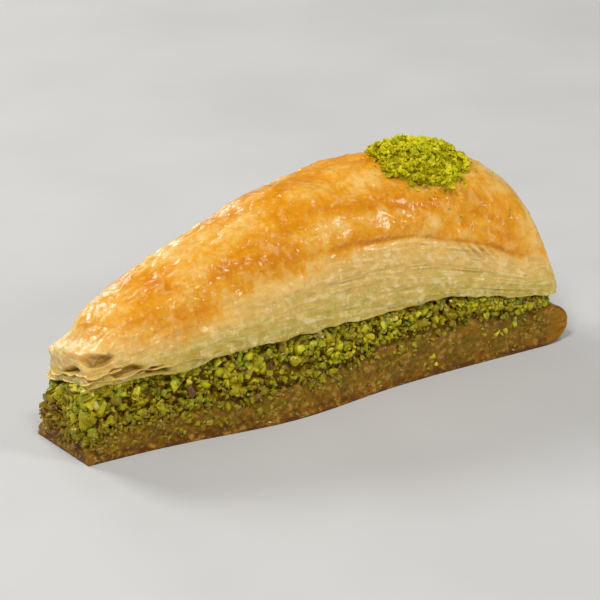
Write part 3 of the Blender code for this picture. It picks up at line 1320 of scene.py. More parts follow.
    def made(self, finish: bpy.types.Material) -> bpy.types.Object:
        """Builds the stack, dresses it and hides the solid that it stands for.

        Args:
            finish: Its material.

        Returns:
            The stack's skin.
        """
        rough = Unevenness(self.seed)
        grid = self._grid()
        shown = 1 - grid.on(Part.UNDERSIDE)
        on_crust = smooth_step(-3 * MM, 3 * MM, grid.above)
        crust, tone = self._crust(rough, grid)
        faces, gap = self._faces(rough, grid)
        lip, lip_shade = self._fold_lip(rough, grid)
        nose, inside = self._nose(rough, grid)
        blisters, blister_shade = self._blisters(grid)
        relief = crust * on_crust + faces * (1 - on_crust) * shown + blisters * on_crust
        relief = (relief + lip * shown) * smooth_step(0.1, 0.6, grid.scale) + nose
        points = self._hung(rough, grid, raised(grid.points, relief))
        browning = self._browning(rough, grid)
        stained = bell(grid.along, 0.75, 0.10) * bell(grid.across, -0.55, 0.30) * on_crust
        values = {
            # The fold's deeper colour, partly painted shade in its crease, turns cream to crust there.
            "browning": np.maximum(browning, 0.85 * np.clip(lip_shade * 2, 0.0, 1.0)),
            "tone": np.clip(tone - 0.30 * (1 - browning) + lip_shade + blister_shade, 0.0, 1.1),
            "layer": grid.sheet,
            # Painted shade in the gaps between sheets and inside the hollows.
            "gap": np.clip(gap * (1 - on_crust) + inside, 0.0, 1.0),
            "stain": 0.8 * stained * smooth_step(-0.3, 0.5, rough.at(grid.points + 1.1, 5 * MM)),
            "along": grid.along,
        }
        piece = tube(points, values).made("upper_pastry_crust", finish)
        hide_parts(Node.UPPER.value)
        return piece


@dataclass
class LowerPastry:
    """The lower stack: dense, soaked, and rounded at its rim end."""

    wedge: Wedge
    rings: int = 400
    side_points: int = 40
    flat_points: int = 40
    rim_round_share: float = 0.62
    tip_hollow: float = 1.8 * MM
    hair: float = 0.1 * MM
    crowding: tuple[float, float] = (0.2, 0.85)
    sheets: float = 9.0
    seed: int = 23

    def made(self, finish: bpy.types.Material) -> bpy.types.Object:
        """Builds the stack, dresses it and hides the solid that it stands for.

        Args:
            finish: Its material.

        Returns:
            The stack's skin.
        """
        form, rough = self.wedge, Unevenness(self.seed)
        hair = self.hair / form.length
        along = crowded(hair, 1 - hair, self.rings, *self.crowding)[:, None]
        across, share = box_section(self.side_points, self.flat_points)
        uneven = 1 + 0.5 * rough.layered(stacked(along * 22, 4.2, 0.0), 1.0, 2)
        top = form.lower_top(along)
        top = top + uneven * (form.soaked_top(along) - top)
        scale = end_scale((1 - along) * form.length, top * self.rim_round_share, 2.0)
        z = top / 2 + (share - 0.5) * top * scale
        rings = form.place(along, across, z, form.half_width(along))
        along, across, share, z = np.broadcast_arrays(along, across, share, z)
        drift = 0.7 * rough.at(stacked(along * 9, share * 2, across * 3))
        level = share * self.sheets + drift
        edge = np.sin(math.pi * (level - np.floor(level))) ** 0.6
        lumps = rough.layered(rings * (0.8, 1, 1), 3.0 * MM, 3)
        grainy = rough.billows(rings + 2.4, 1.9 * MM) - 0.3
        relief = 0.10 * (edge - 0.7) + 0.42 * lumps + 0.34 * grainy
        relief = relief + 0.30 * bell(share, 0.07, 0.06) - 0.28
        side = smooth_step(0.0, 0.06, share)
        ragged = rough.layered(stacked(along * 30, across, 0.4), 1.0, 2)
        worn = smooth_step(0.56 + 0.22 * ragged, 1.05, share) * np.abs(across) ** 8
        relief = relief - 1.3 * worn * (1 - smooth_step(0.84, 0.96, along))
        relief = relief * smooth_step(0.0, 0.5, scale)
        rings = raised(rings, relief * side * MM)
        at_tip = 1 - smooth_step(0.0, 2.0 * MM, along * form.length)
        rings[..., 0] += at_tip * self.tip_hollow * smooth_step(1.8 * MM, 4.0 * MM, z)
        rings[..., 2] = np.where(share == 0, z, np.maximum(rings[..., 2], 0.0))
        values = {
            "height": rings[..., 2] / form.lower_rim_height,
            "rim": smooth_step(0.93, 1.0, along),
            "along": along,
        }
        piece = tube(rings, values).made("lower_pastry_stack", finish)
        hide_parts(Node.LOWER.value)
        return piece


@dataclass(frozen=True)
class Grading:
    """How large the pieces of one batch are, spread round a usual size, in millimetres."""

    usual: float
    spread: float
    least: float
    most: float

    def drawn(self, rng: np.random.Generator, shape: int | tuple[int, ...]) -> Array:
        """Draws sizes, in metres."""
        spread = rng.lognormal(math.log(self.usual), self.spread, shape)
        return np.clip(spread, self.least, self.most) * MM


@dataclass(frozen=True)
class Batch:
    """A number of pieces of any size from least to most, in millimetres."""

    count: int
    least: float
    most: float

    def drawn(self, rng: np.random.Generator) -> Array:
        """Draws sizes, in metres."""
        return rng.uniform(self.least, self.most, self.count) * MM


class NutStock:
    """Broken pieces of nut in a few shapes, and the joined mesh of those laid out."""

    LONG = ((0.45, 0.34, 0.22), (0.62, 0.50, 0.40))
    ROUGHENED = {"smooth": 0.10, "fractal": 0.9}
    ROUNDED = {"factor": 0.30, "use_axis_x": True, "use_axis_y": True, "use_axis_z": True}

    def __init__(self, seed: int, shapes: int, corners: int, divided: bool) -> None:
        """Breaks the shapes that every piece is one of.

        Args:
            seed: Seed of every random choice.
            shapes: How many different shapes there are.
            corners: About how many corners a shape has.
            divided: Whether a shape's faces are divided and roughened.
        """
        self._rng = np.random.default_rng(seed)
        self._shapes = [self._broken(corners, divided) for _ in range(shapes)]
        self._laid: list[Skin] = []

    def _broken(self, corners: int, divided: bool) -> tuple[Array, Array]:
        """Makes one irregular piece.

        Args:
            corners: About how many corners it has.
            divided: Whether its faces are divided and roughened.

        Returns:
            Its points, for a piece about 1 across, and its faces.
        """
        rng = self._rng
        spots = unit(rng.normal(size=(corners, 3)))
        spots *= rng.uniform(0.8, 1.0, (corners, 1)) * rng.uniform(*self.LONG)
        hull = bmesh.new()
        bmesh.ops.convex_hull(hull, input=[hull.verts.new(spot) for spot in spots])
        bmesh.ops.delete(hull, geom=[vert for vert in hull.verts if not vert.link_faces], context="VERTS")
        if divided:
            rough = {"seed": int(rng.integers(1000)), **self.ROUGHENED}
            bmesh.ops.subdivide_edges(hull, edges=hull.edges, cuts=1, use_grid_fill=True, **rough)
            bmesh.ops.smooth_vert(hull, verts=hull.verts, **self.ROUNDED)
        bmesh.ops.triangulate(hull, faces=hull.faces)
        bmesh.ops.recalc_face_normals(hull, faces=hull.faces)
        hull.verts.index_update()
        points = np.array([vert.co for vert in hull.verts])
        faces = np.array([[vert.index for vert in face.verts] for face in hull.faces])
        hull.free()
        return points, faces

    def _turns(self, count: int) -> Array:
        """Random turns.

        Args:
            count: How many there are.

        Returns:
            One rotation matrix for each.
        """
        w, x, y, z = unit(self._rng.normal(size=(count, 4))).T
        rows = [1 - 2 * (y * y + z * z), 2 * (x * y - w * z), 2 * (x * z + w * y)]
        rows += [2 * (x * y + w * z), 1 - 2 * (x * x + z * z), 2 * (y * z - w * x)]
        rows += [2 * (x * z - w * y), 2 * (y * z + w * x), 1 - 2 * (x * x + y * y)]
        return np.stack(rows, axis=-1).reshape(count, 3, 3)

    def lay(self, middles: Array, sizes: Array, tones: Array, stretch: Array | float = 1.0) -> None:
        """Lays pieces out, each turned its own way.

        Args:
            middles: Where each piece's middle is.
            sizes: How large each piece is.
            tones: The finish's tone of each piece.
            stretch: How much taller each piece is than it would be, once turned.
        """
        count = len(sizes)
        which = self._rng.integers(len(self._shapes), size=count)
        turns = self._turns(count) * np.asarray(sizes)[:, None, None]
        turns[:, 2] *= np.broadcast_to(stretch, count)[:, None]
        for number, (points, faces) in enumerate(self._shapes):
            mine = which == number
            placed = np.einsum("nij,pj->npi", turns[mine], points) + middles[mine][:, None]
            starts = np.arange(mine.sum()) * len(points)
            tone = np.repeat(np.asarray(tones)[mine], len(points))
            corners = (faces[None] + starts[:, None, None]).reshape(-1, 3)
            self._laid.append(Skin(placed.reshape(-1, 3), corners, {"tone": tone}))

    def made(self, name: str, finish: bpy.types.Material, sharp: float) -> bpy.types.Object:
        """Joins all the pieces laid out into one shown mesh."""
        return Skin.joined(self._laid).made(name, finish, sharp)


@dataclass(frozen=True)
class Chunk:
    """One large piece of nut at its own place; distances and its size are in millimetres."""

    from_tip: float
    across: float
    up: float
    size: float
    stretch: float
    tone: float


@dataclass
class NutFilling:
    """The layer of chopped pistachio: a syrupy core with nuts packed against its sides.

    On each cut face lie bits and crumbs, and below them bits that are pressed into the lower stack.
    """

    wedge: Wedge
    core_setback: float = 2.7 * MM
    core_ends: tuple[float, float] = (2.8 * MM, 6.8 * MM)
    core_sink: float = 2.2 * MM
    core_rings: int = 280
    core_side_points: int = 28
    core_flat_points: int = 24
    bits_per_face: int = 660
    bit_grading: Grading = Grading(2.8, 0.28, 1.6, 4.8)
    bits_sunk: float = 0.75 * MM
    crumbs_on_face: Batch = Batch(1300, 0.7, 1.5)
    crumbs_sunk: float = 1.6 * MM
    pressed_per_face: int = 640
    pressed_grading: Grading = Grading(2.1, 0.32, 0.9, 4.0)
    bits_on_end: Batch = Batch(105, 2.8, 5.4)
    crumbs_on_end: Batch = Batch(200, 0.8, 1.6)
    bits_at_rim: Batch = Batch(160, 1.4, 2.8)
    crumbs_at_rim: Batch = Batch(300, 0.6, 1.2)
    chunks: tuple[Chunk, ...] = (
        Chunk(0.6, 0.05, 10.5, 5.1, 2.0, 0.90),
        Chunk(0.9, 0.42, 12.5, 4.6, 1.2, 0.74),
        Chunk(0.5, 0.82, 7.6, 5.1, 1.1, 0.12),
        Chunk(0.2, 0.95, 5.4, 4.1, 1.0, 0.96),
        Chunk(0.9, 0.70, 11.0, 4.1, 1.1, 0.84),
        Chunk(0.9, -0.30, 8.2, 4.6, 1.1, 0.46),
        Chunk(0.4, -0.45, 4.6, 5.1, 0.8, 0.88),
        Chunk(0.8, 0.35, 6.2, 4.4, 1.0, 0.55),
        Chunk(0.4, -0.05, 4.6, 3.9, 0.9, 0.70),
        Chunk(1.4, -0.90, 15.2, 4.6, 1.5, 1.00),
        Chunk(1.8, -0.55, 12.6, 4.8, 1.1, 0.10),
        Chunk(5.0, -1.00, 13.5, 4.8, 1.3, 0.72),
        Chunk(8.5, -1.00, 14.5, 4.4, 1.1, 0.42),
        Chunk(9.0, -1.00, 8.5, 4.8, 1.0, 0.60),
        Chunk(14.0, -1.00, 15.2, 4.1, 1.3, 0.86),
        Chunk(18.0, -1.00, 9.5, 4.4, 1.1, 0.82),
        Chunk(24.5, -1.00, 15.4, 5.8, 1.0, 0.80),
        Chunk(28.0, -1.00, 12.6, 3.2, 1.7, 0.11),
        Chunk(32.0, -1.00, 13.0, 4.0, 1.0, 0.76),
        Chunk(44.0, -1.00, 18.2, 4.2, 0.8, 0.78),
        Chunk(49.0, -1.00, 17.8, 4.0, 0.9, 0.70),
        Chunk(58.0, -1.00, 17.0, 3.6, 1.0, 0.84),
        Chunk(79.0, -1.00, 15.2, 3.8, 1.0, 0.74),
        Chunk(83.0, -1.00, 17.5, 3.4, 1.0, 0.88),
        Chunk(96.8, -1.00, 7.6, 3.8, 1.4, 0.84),
        Chunk(98.6, -1.00, 5.2, 3.8, 1.0, 0.78),
        Chunk(99.4, -1.00, 2.9, 3.2, 1.0, 0.86),
        Chunk(102.5, -1.00, 9.4, 2.6, 0.9, 0.10),
        Chunk(118.6, -1.00, 7.0, 3.8, 0.9, 0.84),
        Chunk(121.2, -1.00, 6.6, 3.4, 1.0, 0.74),
        Chunk(124.2, -1.00, 8.8, 3.8, 1.0, 0.88),
        Chunk(127.4, -1.00, 13.4, 2.8, 0.9, 0.06),
        Chunk(129.8, -1.00, 13.6, 2.4, 0.9, 0.10),
        Chunk(131.6, -0.99, 12.0, 3.2, 0.8, 0.86),
        Chunk(133.8, -0.96, 12.4, 3.2, 0.8, 0.92),
    )
    ranks: tuple[float, ...] = (0.00, 0.08, 0.16, 0.34, 0.52, 0.76, 0.94, 1.08)
    rank_tones: tuple[float, ...] = (0.05, 0.13, 0.24, 0.36, 0.52, 0.68, 0.84, 1.00)
    seed: int = 31

    def _core(self) -> bpy.types.Object:
        """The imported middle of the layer, full of syrup, that the nuts stand in.

        Returns:
            The core.
        """
        form, rough = self.wedge, Unevenness(self.seed)
        first, last = self.core_ends[0] / form.length, 1 - self.core_ends[1] / form.length
        along = np.linspace(first, last, self.core_rings)[:, None]
        across, share = box_section(self.core_side_points, self.core_flat_points)
        here = form.leaning(along, across, share)
        floor = form.lower_top(here) - self.core_sink
        z = floor + share * (form.filling_top(here, across) + 0.6 * MM - floor)
        rings = form.place(here, across, z, form.half_width(along) - self.core_setback)
        lumps = rough.layered(rings, 3.2 * MM, 3)
        grainy = rough.billows(rings + 2.4, 1.7 * MM) - 0.3
        side = smooth_step(0.0, 0.1, share)
        relief = (0.7 * lumps + 0.45 * grainy) * MM * side * smooth_step(0.0, 0.2, 1 - share)
        rings = raised(rings, relief)
        values = {
            "height": rings[..., 2] / form.lower_rim_height,
            "rim": np.zeros_like(lumps),
            "along": np.broadcast_to(along, lumps.shape),
        }
        finish = SoakedFinish("soaked_filling").made()
        piece = tube(rings, values).made("pistachio_filling_core", finish)
        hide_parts(Node.FILLING.value)
        return piece

    def _tones(self, rng: np.random.Generator, middles: Array) -> Array:
        """Tones of nuts, from purple skins over syrup-brown and dark ones to fresh green breaks.

        Like ones lie in clusters, and those low down are soaked.

        Args:
            rng: Where the draws come from.
            middles: Where the nuts are.

        Returns:
            One tone for each nut.
        """
        clouds = Unevenness(self.seed + 9).layered(middles * (0.7, 1, 1), 5.5 * MM, 2)
        share = middles[:, 2] / self.wedge.filling_top(middles[:, 0] / self.wedge.length + 0.5, -1.0)
        rank = rng.random(len(middles)) * 0.56 + 0.30 + 0.46 * clouds + 0.66 * (share - 0.60)
        return np.interp(rank, self.ranks, self.rank_tones) + rng.normal(0, 0.03, len(middles))

    def _on_face(
        self, rng: np.random.Generator, across: float, sizes: Array, sunk: float
    ) -> tuple[Array, Array]:
        """Nuts against one cut face, larger towards the tip.

        Args:
            rng: Where the draws come from.
            across: -1 for the front face, +1 for the back one.
            sizes: How large each one is.
            sunk: How far some of them stand back.

        Returns:
            Their middles, and how large each one is there.
        """
        form, count = self.wedge, len(sizes)
        along = rng.uniform(0.6 * MM, form.length - 5.8 * MM, count) / form.length
        sizes = sizes * (1.42 - 0.46 * along)
        up = rng.random(count) ** 0.8 - 0.03
        here = form.leaning(along, across, up)
        low, high = form.lower_top(here), form.filling_top(here, across)
        z = np.minimum(low + up * (high - low), high - 0.35 * sizes)
        width = form.half_width(along) - 0.38 * sizes - 0.2 * MM - np.abs(rng.normal(0, sunk, count))
        return form.place(here, across, z, width), sizes

    def _on_end(self, rng: np.random.Generator, sizes: Array) -> Array:
        """Middles of nuts at the tip's cut face.

        Args:
            rng: Where the draws come from.
            sizes: How large each one is.

        Returns:
            Their middles.
        """
        form, count = self.wedge, len(sizes)
        across = rng.uniform(-0.97, 0.99, count)
        high = form.filling_top(0.0, across)
        z = rng.uniform(1.4 * MM + 0.3 * sizes, high - 0.3 * sizes)
        up = np.clip((z - 4 * MM) / (high - 4 * MM), 0, 1)
        bulge = 1.5 * MM * bell(z, 6.5 * MM, 4 * MM) * (0.6 + 0.4 * across)
        from_tip = 0.30 * sizes + np.abs(rng.normal(0.2, 0.5, count)) * MM - bulge
        along = from_tip / form.length
        here = form.leaning(along, across, up)
        return form.place(here, across, z, form.half_width(along) - 0.4 * sizes)

    def _at_rim(self, rng: np.random.Generator, sizes: Array) -> Array:
        """Middles of nuts that show under the crust at the rim.

        Args:
            rng: Where the draws come from.
            sizes: How large each one is.

        Returns:
            Their middles.
        """
        form, count = self.wedge, len(sizes)
        across = rng.uniform(-0.98, 0.98, count)
        along = 1 - (5.4 * MM + 0.4 * sizes + np.abs(rng.normal(0, 0.5, count)) * MM) / form.length
        z = rng.uniform(form.lower_top(along) + 0.2 * MM, form.filling_top(along, across) - 0.35 * sizes)
        return form.place(along, across, z, form.half_width(along) - 0.4 * sizes)

    def _pressed(self, rng: np.random.Generator, across: float, sizes: Array) -> Array:
        """Middles of nuts that the knife pressed into the lower stack's cut face.

        Args:
            rng: Where the draws come from.
            across: -1 for the front face, +1 for the back one.
            sizes: How large each one is.

        Returns:
            Their middles.
        """
        form, count = self.wedge, len(sizes)
        along = rng.random(count) ** 1.3 * 0.94 + 0.01
        depth = rng.random(count) ** (1.8 + 1.3 * along)
        z = form.soaked_top(along) * (1.05 - 0.89 * depth)
        return form.place(along, across, z, form.half_width(along) - (0.08 + 0.20 * depth) * sizes)

    def _chunk_middle(self, chunk: Chunk) -> Array:
        """Where a large piece's middle is.

        Args:
            chunk: The piece.

        Returns:
            Its middle.
        """
        form = self.wedge
        from_tip, z, size = chunk.from_tip * MM, chunk.up * MM, chunk.size * MM
        up = max(z - 7 * MM, 0.0) / (12 * MM)
        inwards = 0.34 * size
        along = (from_tip + inwards * (from_tip < 3 * MM)) / form.length
        here = form.leaning(along, chunk.across, up)
        return form.place(here, chunk.across, z, form.half_width(along) - inwards)

    def made(self) -> list[bpy.types.Object]:
        """Builds the core and the nuts, and hides the solid that they stand for.

        Returns:
            The filling's pieces.
        """
        finish = CHOPPED.made()
        rng = np.random.default_rng(self.seed)
        bits = NutStock(self.seed + 1, shapes=14, corners=9, divided=True)
        crumbs = NutStock(self.seed + 2, shapes=14, corners=8, divided=False)
        large = NutStock(self.seed + 3, shapes=8, corners=12, divided=True)
        for across in (-1.0, 1.0):
            sizes = self.bit_grading.drawn(rng, self.bits_per_face)
            middles, sizes = self._on_face(rng, across, sizes, self.bits_sunk)
            bits.lay(middles, sizes, self._tones(rng, middles))
            sizes = self.crumbs_on_face.drawn(rng)
            middles, sizes = self._on_face(rng, across, sizes, self.crumbs_sunk)
            crumbs.lay(middles, sizes, 0.66 * self._tones(rng, middles) + 0.14)
            sizes = self.pressed_grading.drawn(rng, self.pressed_per_face)
            middles = self._pressed(rng, across, sizes)
            bits.lay(middles, sizes, 0.60 * self._tones(rng, middles) + 0.20)
        for stock, place, batch in (
            (bits, self._on_end, self.bits_on_end),
            (crumbs, self._on_end, self.crumbs_on_end),
            (bits, self._at_rim, self.bits_at_rim),
            (crumbs, self._at_rim, self.crumbs_at_rim),
        ):
            sizes = batch.drawn(rng)
            middles = place(rng, sizes)
            stock.lay(middles, sizes, self._tones(rng, middles))
        middles = np.array([self._chunk_middle(chunk) for chunk in self.chunks])
        facts = np.array([(chunk.size * MM, chunk.tone, chunk.stretch) for chunk in self.chunks]).T
        large.lay(middles, *facts)
        pieces = [
            self._core(),
            bits.made("pistachio_bits", finish, sharp=70),
            crumbs.made("pistachio_crumbs", finish, sharp=60),
            large.made("pistachio_chunks", finish, sharp=70),
        ]
        return pieces


@dataclass
class SheetEdges:
    """Thin sheets of the upper stack that curl out at its tip and along its cut faces."""

    wedge: Wedge
    upper: UpperPastry
    thickness: float = 0.30 * MM
    width_points: int = 9
    loose_per_face: int = 5
    seed: int = 41
    looks: tuple[tuple[str, float], ...] = (
        ("browning", 0.30),
        ("tone", 0.1),
        ("layer", 0.8),
        ("gap", 0.0),
        ("stain", 0.0),
        ("along", 0.2),
    )

    def _leaf(self, path: Array, facing: Array, reach: Array, curl: Array, inset: float) -> Skin:
        """One thin sheet along a path, from inside the stack to its curled edge.

        Args:
            path: Points along the stack's side.
            facing: Which way is out at each of them.
            reach: How far the sheet stands out there.
            curl: How far its edge turns up there.
            inset: How far inside the stack it starts.

        Returns:
            The sheet, closed all round.
        """
        steps = np.linspace(0.0, 1.0, self.width_points)
        out = -inset + steps[None, :] * (reach[:, None] + inset)
        lift = curl[:, None] * steps[None, :] ** 3
        middle = path[:, None, :] + facing[:, None, :] * out[..., None]
        middle[..., 2] += lift
        half = np.zeros_like(middle)
        half[..., 2] = self.thickness / 2 * np.sqrt(np.clip(1 - steps**6, 0.05, 1))
        rings = np.concatenate([middle - half, (middle + half)[:, ::-1]], axis=1)
        if np.cross(path[-1] - path[0], facing[len(facing) // 2])[2] < 0:
            rings = rings[:, ::-1]
        return tube(rings, {name: np.full(rings.shape[:2], value) for name, value in self.looks})

    def _round_tip(self, level: float, back: float, front: float, rough: Unevenness) -> Skin:
        """One sheet that runs from the back face round the tip to the front one.

        Args:
            level: How far above the filling it lies.
            back: How far along the back face it starts.
            front: How far along the front face it stops.
            rough: Where its waves are read.

        Returns:
            The sheet.
        """
        form = self.wedge
        lengths = np.linspace(-(back + form.tip_half_width), front + form.tip_half_width, 200)
        along = np.maximum(np.abs(lengths) - form.tip_half_width, 0.0) / form.length
        across = -np.clip(lengths / form.tip_half_width, -1.0, 1.0)
        here = form.slanted(along, across) + self.upper.tip_setback / form.length
        end = smooth_step(1.15, 0.80, np.abs(lengths) / form.tip_half_width)
        facing = unit(stacked(-end, np.sign(across) * (1 - end), 0.0))
        marks = stacked(lengths / (4.5 * MM), level * 900, 0.3)
        z = form.filling_top(here, across) + level + 0.75 * MM * rough.layered(marks, 1.0, 2)
        path = form.place(here, across, z, form.half_width(here) - 0.2 * MM)
        ends = np.sin(math.pi * np.linspace(0.0, 1.0, len(lengths))) ** 0.4
        reach = (0.9 + 0.8 * rough.at(marks + 5) - 0.3 * end) * MM * ends
        curl = (0.2 + 1.0 * rough.at(marks + 9)) * MM
        return self._leaf(path, facing, reach, curl, 3.0 * MM)

    def _along_face(self, side: float, rng: np.random.Generator, rough: Unevenness) -> Skin:
        """One sheet that shows for a stretch of a cut face.

        Args:
            side: -1 for the front face, +1 for the back one.
            rng: Where its place is drawn from.
            rough: Where its waves are read.

        Returns:
            The sheet.
        """
        start = rng.uniform(0.28, 0.80)
        stop = min(start + rng.uniform(0.05, 0.20), 0.93)
        steps = np.linspace(0, 1, 60)
        along = start + (stop - start) * steps
        marks = stacked(along * 20, 9 * start, side)
        share = rng.uniform(0.10, 0.92) + 0.012 * rough.at(marks)
        path = self.upper.face(along, side, share)
        facing = np.tile((0.0, side, 0.0), (len(steps), 1))
        ends = np.sin(math.pi * steps) ** 0.6
        reach = (0.10 + 0.20 * rng.random()) * MM * ends - 0.4 * MM * (1 - ends)
        return self._leaf(path, facing, reach, 0.25 * MM * rough.at(marks + 3), 1.5 * MM)

    def made(self, finish: bpy.types.Material) -> bpy.types.Object:
        """Builds the curled sheets and dresses them.

        Args:
            finish: Their material.

        Returns:
            The sheets, as one piece.
        """
        rng, rough = np.random.default_rng(self.seed), Unevenness(self.seed)
        leaves = [
            self._round_tip(0.5 * MM, 9 * MM, 34 * MM, rough),
            self._round_tip(2.2 * MM, 4 * MM, 9 * MM, rough),
        ]
        for side in (-1.0, 1.0):
            leaves += [self._along_face(side, rng, rough) for _ in range(self.loose_per_face)]
        piece = Skin.joined(leaves).made("upper_pastry_sheet_edges", finish)
        return piece


@dataclass
class NutHeap:
    """The small heap of ground pistachio: a lumpy core under clumps of loose grains.

    Its reaches, in millimetres, go round it from +X towards +Y in even turns.
    """

    wedge: Wedge
    at_along: float = 0.755
    at_across: float = -0.17
    reaches: tuple[float, ...] = (16.0, 12.5, 9.5, 9.0, 10.0, 12.5, 14.0, 15.2, 13.2, 11.4, 10.0, 13.6)
    height: float = 3.9 * MM
    core_round_points: int = 72
    # The core is darker than the grains: painted shade in the hollows between the clumps.
    core_tone: float = 0.25
    core_sunk: float = 0.7 * MM
    core_foot: float = 0.8 * MM
    clumps: int = 300
    clump_radii: tuple[float, float] = (0.5, 1.2)
    clump_flatness: float = 0.85
    grains_per_clump: int = 11
    grain_grading: Grading = Grading(1.42, 0.3, 0.8, 2.5)
    loose: Batch = Batch(150, 0.5, 1.3)
    strays: tuple[tuple[float, float, float], ...] = (
        (0.882, -0.80, 1.3 * MM),
        (0.888, -0.78, 1.1 * MM),
        (0.893, -0.75, 0.9 * MM),
        (0.655, -0.42, 1.0 * MM),
        (0.668, -0.34, 0.8 * MM),
        (0.905, -0.36, 0.9 * MM),
    )
    seed: int = 53

    def _middle(self) -> Array:
        """The heap's middle in plan."""
        y = self.at_across * float(self.wedge.half_width(np.float64(self.at_along)))
        return np.array([float(self.wedge.station(np.float64(self.at_along), y)), y])

    def _spread(self, rough: Unevenness, out: Array, turn: Array) -> Array:
        """Places in plan at a share of the way out to the heap's ragged outline, in a direction.

        Args:
            rough: Where the outline's raggedness is read.
            out: Shares of the way out.
            turn: Directions.

        Returns:
            Places in plan.
        """
        marks = np.linspace(0.0, 2 * math.pi, len(self.reaches) + 1)
        reach = np.interp(turn % (2 * math.pi), marks, (*self.reaches, self.reaches[0])) * MM
        reach = reach * (1 + 0.16 * rough.at(stacked(2.5 * np.cos(turn), 2.5 * np.sin(turn), 0.5)))
        return self._middle() + stacked(np.cos(turn), np.sin(turn))[..., :2] * (out * reach)[..., None]

    def _thickness(self, rough: Unevenness, plan: Array, out: Array) -> Array:
        """Thickness of the heap over the crust.

        Args:
            rough: Where its lumps are read.
            plan: Places in plan.
            out: How far out each is, as a share.

        Returns:
            Thicknesses in metres.
        """
        marks = stacked(plan[..., 0], plan[..., 1], 0.0)
        lumps = 0.80 + 0.55 * rough.billows(marks, 5.0 * MM) + 0.40 * rough.at(marks, 2.6 * MM)
        thinner = 1 - 0.50 * smooth_step(-2 * MM, 12 * MM, plan[..., 0] - self._middle()[0])
        return self.height * np.clip(1 - out**2.4, 0, 1) ** 0.6 * lumps * thinner

    @staticmethod
    def _on_crust(crust: BVHTree, plan: Array) -> Array:
        """Height of the crust under places in plan.

        Args:
            crust: The crust's finished surface.
            plan: Places in plan.

        Returns:
            Heights in metres.
        """
        above, down = 0.2, Vector((0, 0, -1))
        hits = [crust.ray_cast(Vector((x, y, above)), down)[0] for x, y in plan.reshape(-1, 2)]
        return np.array([hit.z if hit else 0.0 for hit in hits]).reshape(plan.shape[:-1])

    def _above(self, crust: BVHTree, plan: Array, lift: Array) -> Array:
        """Points that stand a lift above the crust, over places in plan."""
        return np.concatenate([plan, (self._on_crust(crust, plan) + lift)[..., None]], axis=-1)

    def _core(self, crust: BVHTree, rough: Unevenness, finish: bpy.types.Material) -> bpy.types.Object:
        """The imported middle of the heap.

        Args:
            crust: The crust's finished surface.
            rough: Where its lumps are read.
            finish: Its material.

        Returns:
            The core.
        """
        turn = np.linspace(2 * math.pi, 0, self.core_round_points, endpoint=False)[None, :]
        outer, inner = np.linspace(0.02, 0.90, 26), np.linspace(0.90, 0.3, 6)
        out, turn = np.broadcast_arrays(np.concatenate([outer, inner])[:, None], turn)
        plan = self._spread(rough, out, turn)
        lift = self._thickness(rough, plan, out) - self.core_sunk
        lift[len(outer) :] = -self.core_foot
        rings = self._above(crust, plan, lift)
        # Painted shade: the core shows between the clumps in a darker tone.
        tones = {"tone": np.full(out.shape, self.core_tone)}
        piece = tube(rings, tones).made("pistachio_heap_core", finish)
        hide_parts(Node.HEAP.value)
        return piece

    def made(self, crust_piece: bpy.types.Object) -> list[bpy.types.Object]:
        """Builds the core, and the clumps and grains on the finished crust.

        Args:
            crust_piece: The crust that the heap lies on.

        Returns:
            The heap's pieces.
        """
        finish = GROUND.made()
        rng, rough = np.random.default_rng(self.seed), Unevenness(self.seed)
        mesh = crust_piece.data
        corners = [tuple(face.vertices) for face in mesh.polygons]
        crust = BVHTree.FromPolygons([vert.co for vert in mesh.vertices], corners)
        grains = NutStock(self.seed + 1, shapes=20, corners=9, divided=False)
        out = rng.random(self.clumps) ** 0.55 * 0.99
        plan = self._spread(rough, out, rng.uniform(0, 2 * math.pi, self.clumps))
        thick = self._thickness(rough, plan, out)
        middles = self._above(crust, plan, thick)
        middles[:, 2] -= 0.2 * MM
        round_it = unit(rng.normal(size=(self.clumps, self.grains_per_clump, 3)))
        radius = rng.uniform(*self.clump_radii, (self.clumps, 1, 1)) * MM
        places = middles[:, None] + round_it * radius * (1, 1, self.clump_flatness)
        size = self.grain_grading.drawn(rng, places.shape[:2])
        # Painted light and shade: grains on top of each clump and where the heap is thick come out
        # lighter, those beneath darker; the rest of the tone is random.
        high = 0.47 + 0.18 * round_it[..., 2] + 0.12 * rng.normal(size=(self.clumps, 1))
        tone = high + rng.normal(0, 0.06, size.shape) + 0.20 * (thick[:, None] / self.height - 0.6)
        grains.lay(places.reshape(-1, 3), size.ravel(), np.clip(tone.ravel(), 0.0, 1.0))
        out = 0.9 + np.abs(rng.normal(0, 0.13, self.loose.count))
        plan = self._spread(rough, out, rng.uniform(0, 2 * math.pi, self.loose.count))
        stray_along, stray_across, stray_size = np.array(self.strays).T
        y = stray_across * self.wedge.half_width(stray_along)
        plan = np.concatenate([plan, np.stack([self.wedge.station(stray_along, y), y], axis=-1)])
        size = np.concatenate([self.loose.drawn(rng), stray_size])
        grains.lay(self._above(crust, plan, 0.25 * size), size, rng.uniform(0.3, 0.75, len(size)))
        pieces = [self._core(crust, rough, finish), grains.made("pistachio_grains", finish, sharp=70)]
        return pieces


# --------------------------------------------------------------------------------------------------------
# The studio
# --------------------------------------------------------------------------------------------------------


def direction(azimuth: float, elevation: float) -> Vector:
    """Unit vector towards an azimuth (0 is -Y, 90 is +X) and an elevation, in degrees."""
    turn, lift = math.radians(azimuth), math.radians(elevation)
    return Vector((math.sin(turn) * math.cos(lift), -math.cos(turn) * math.cos(lift), math.sin(lift)))


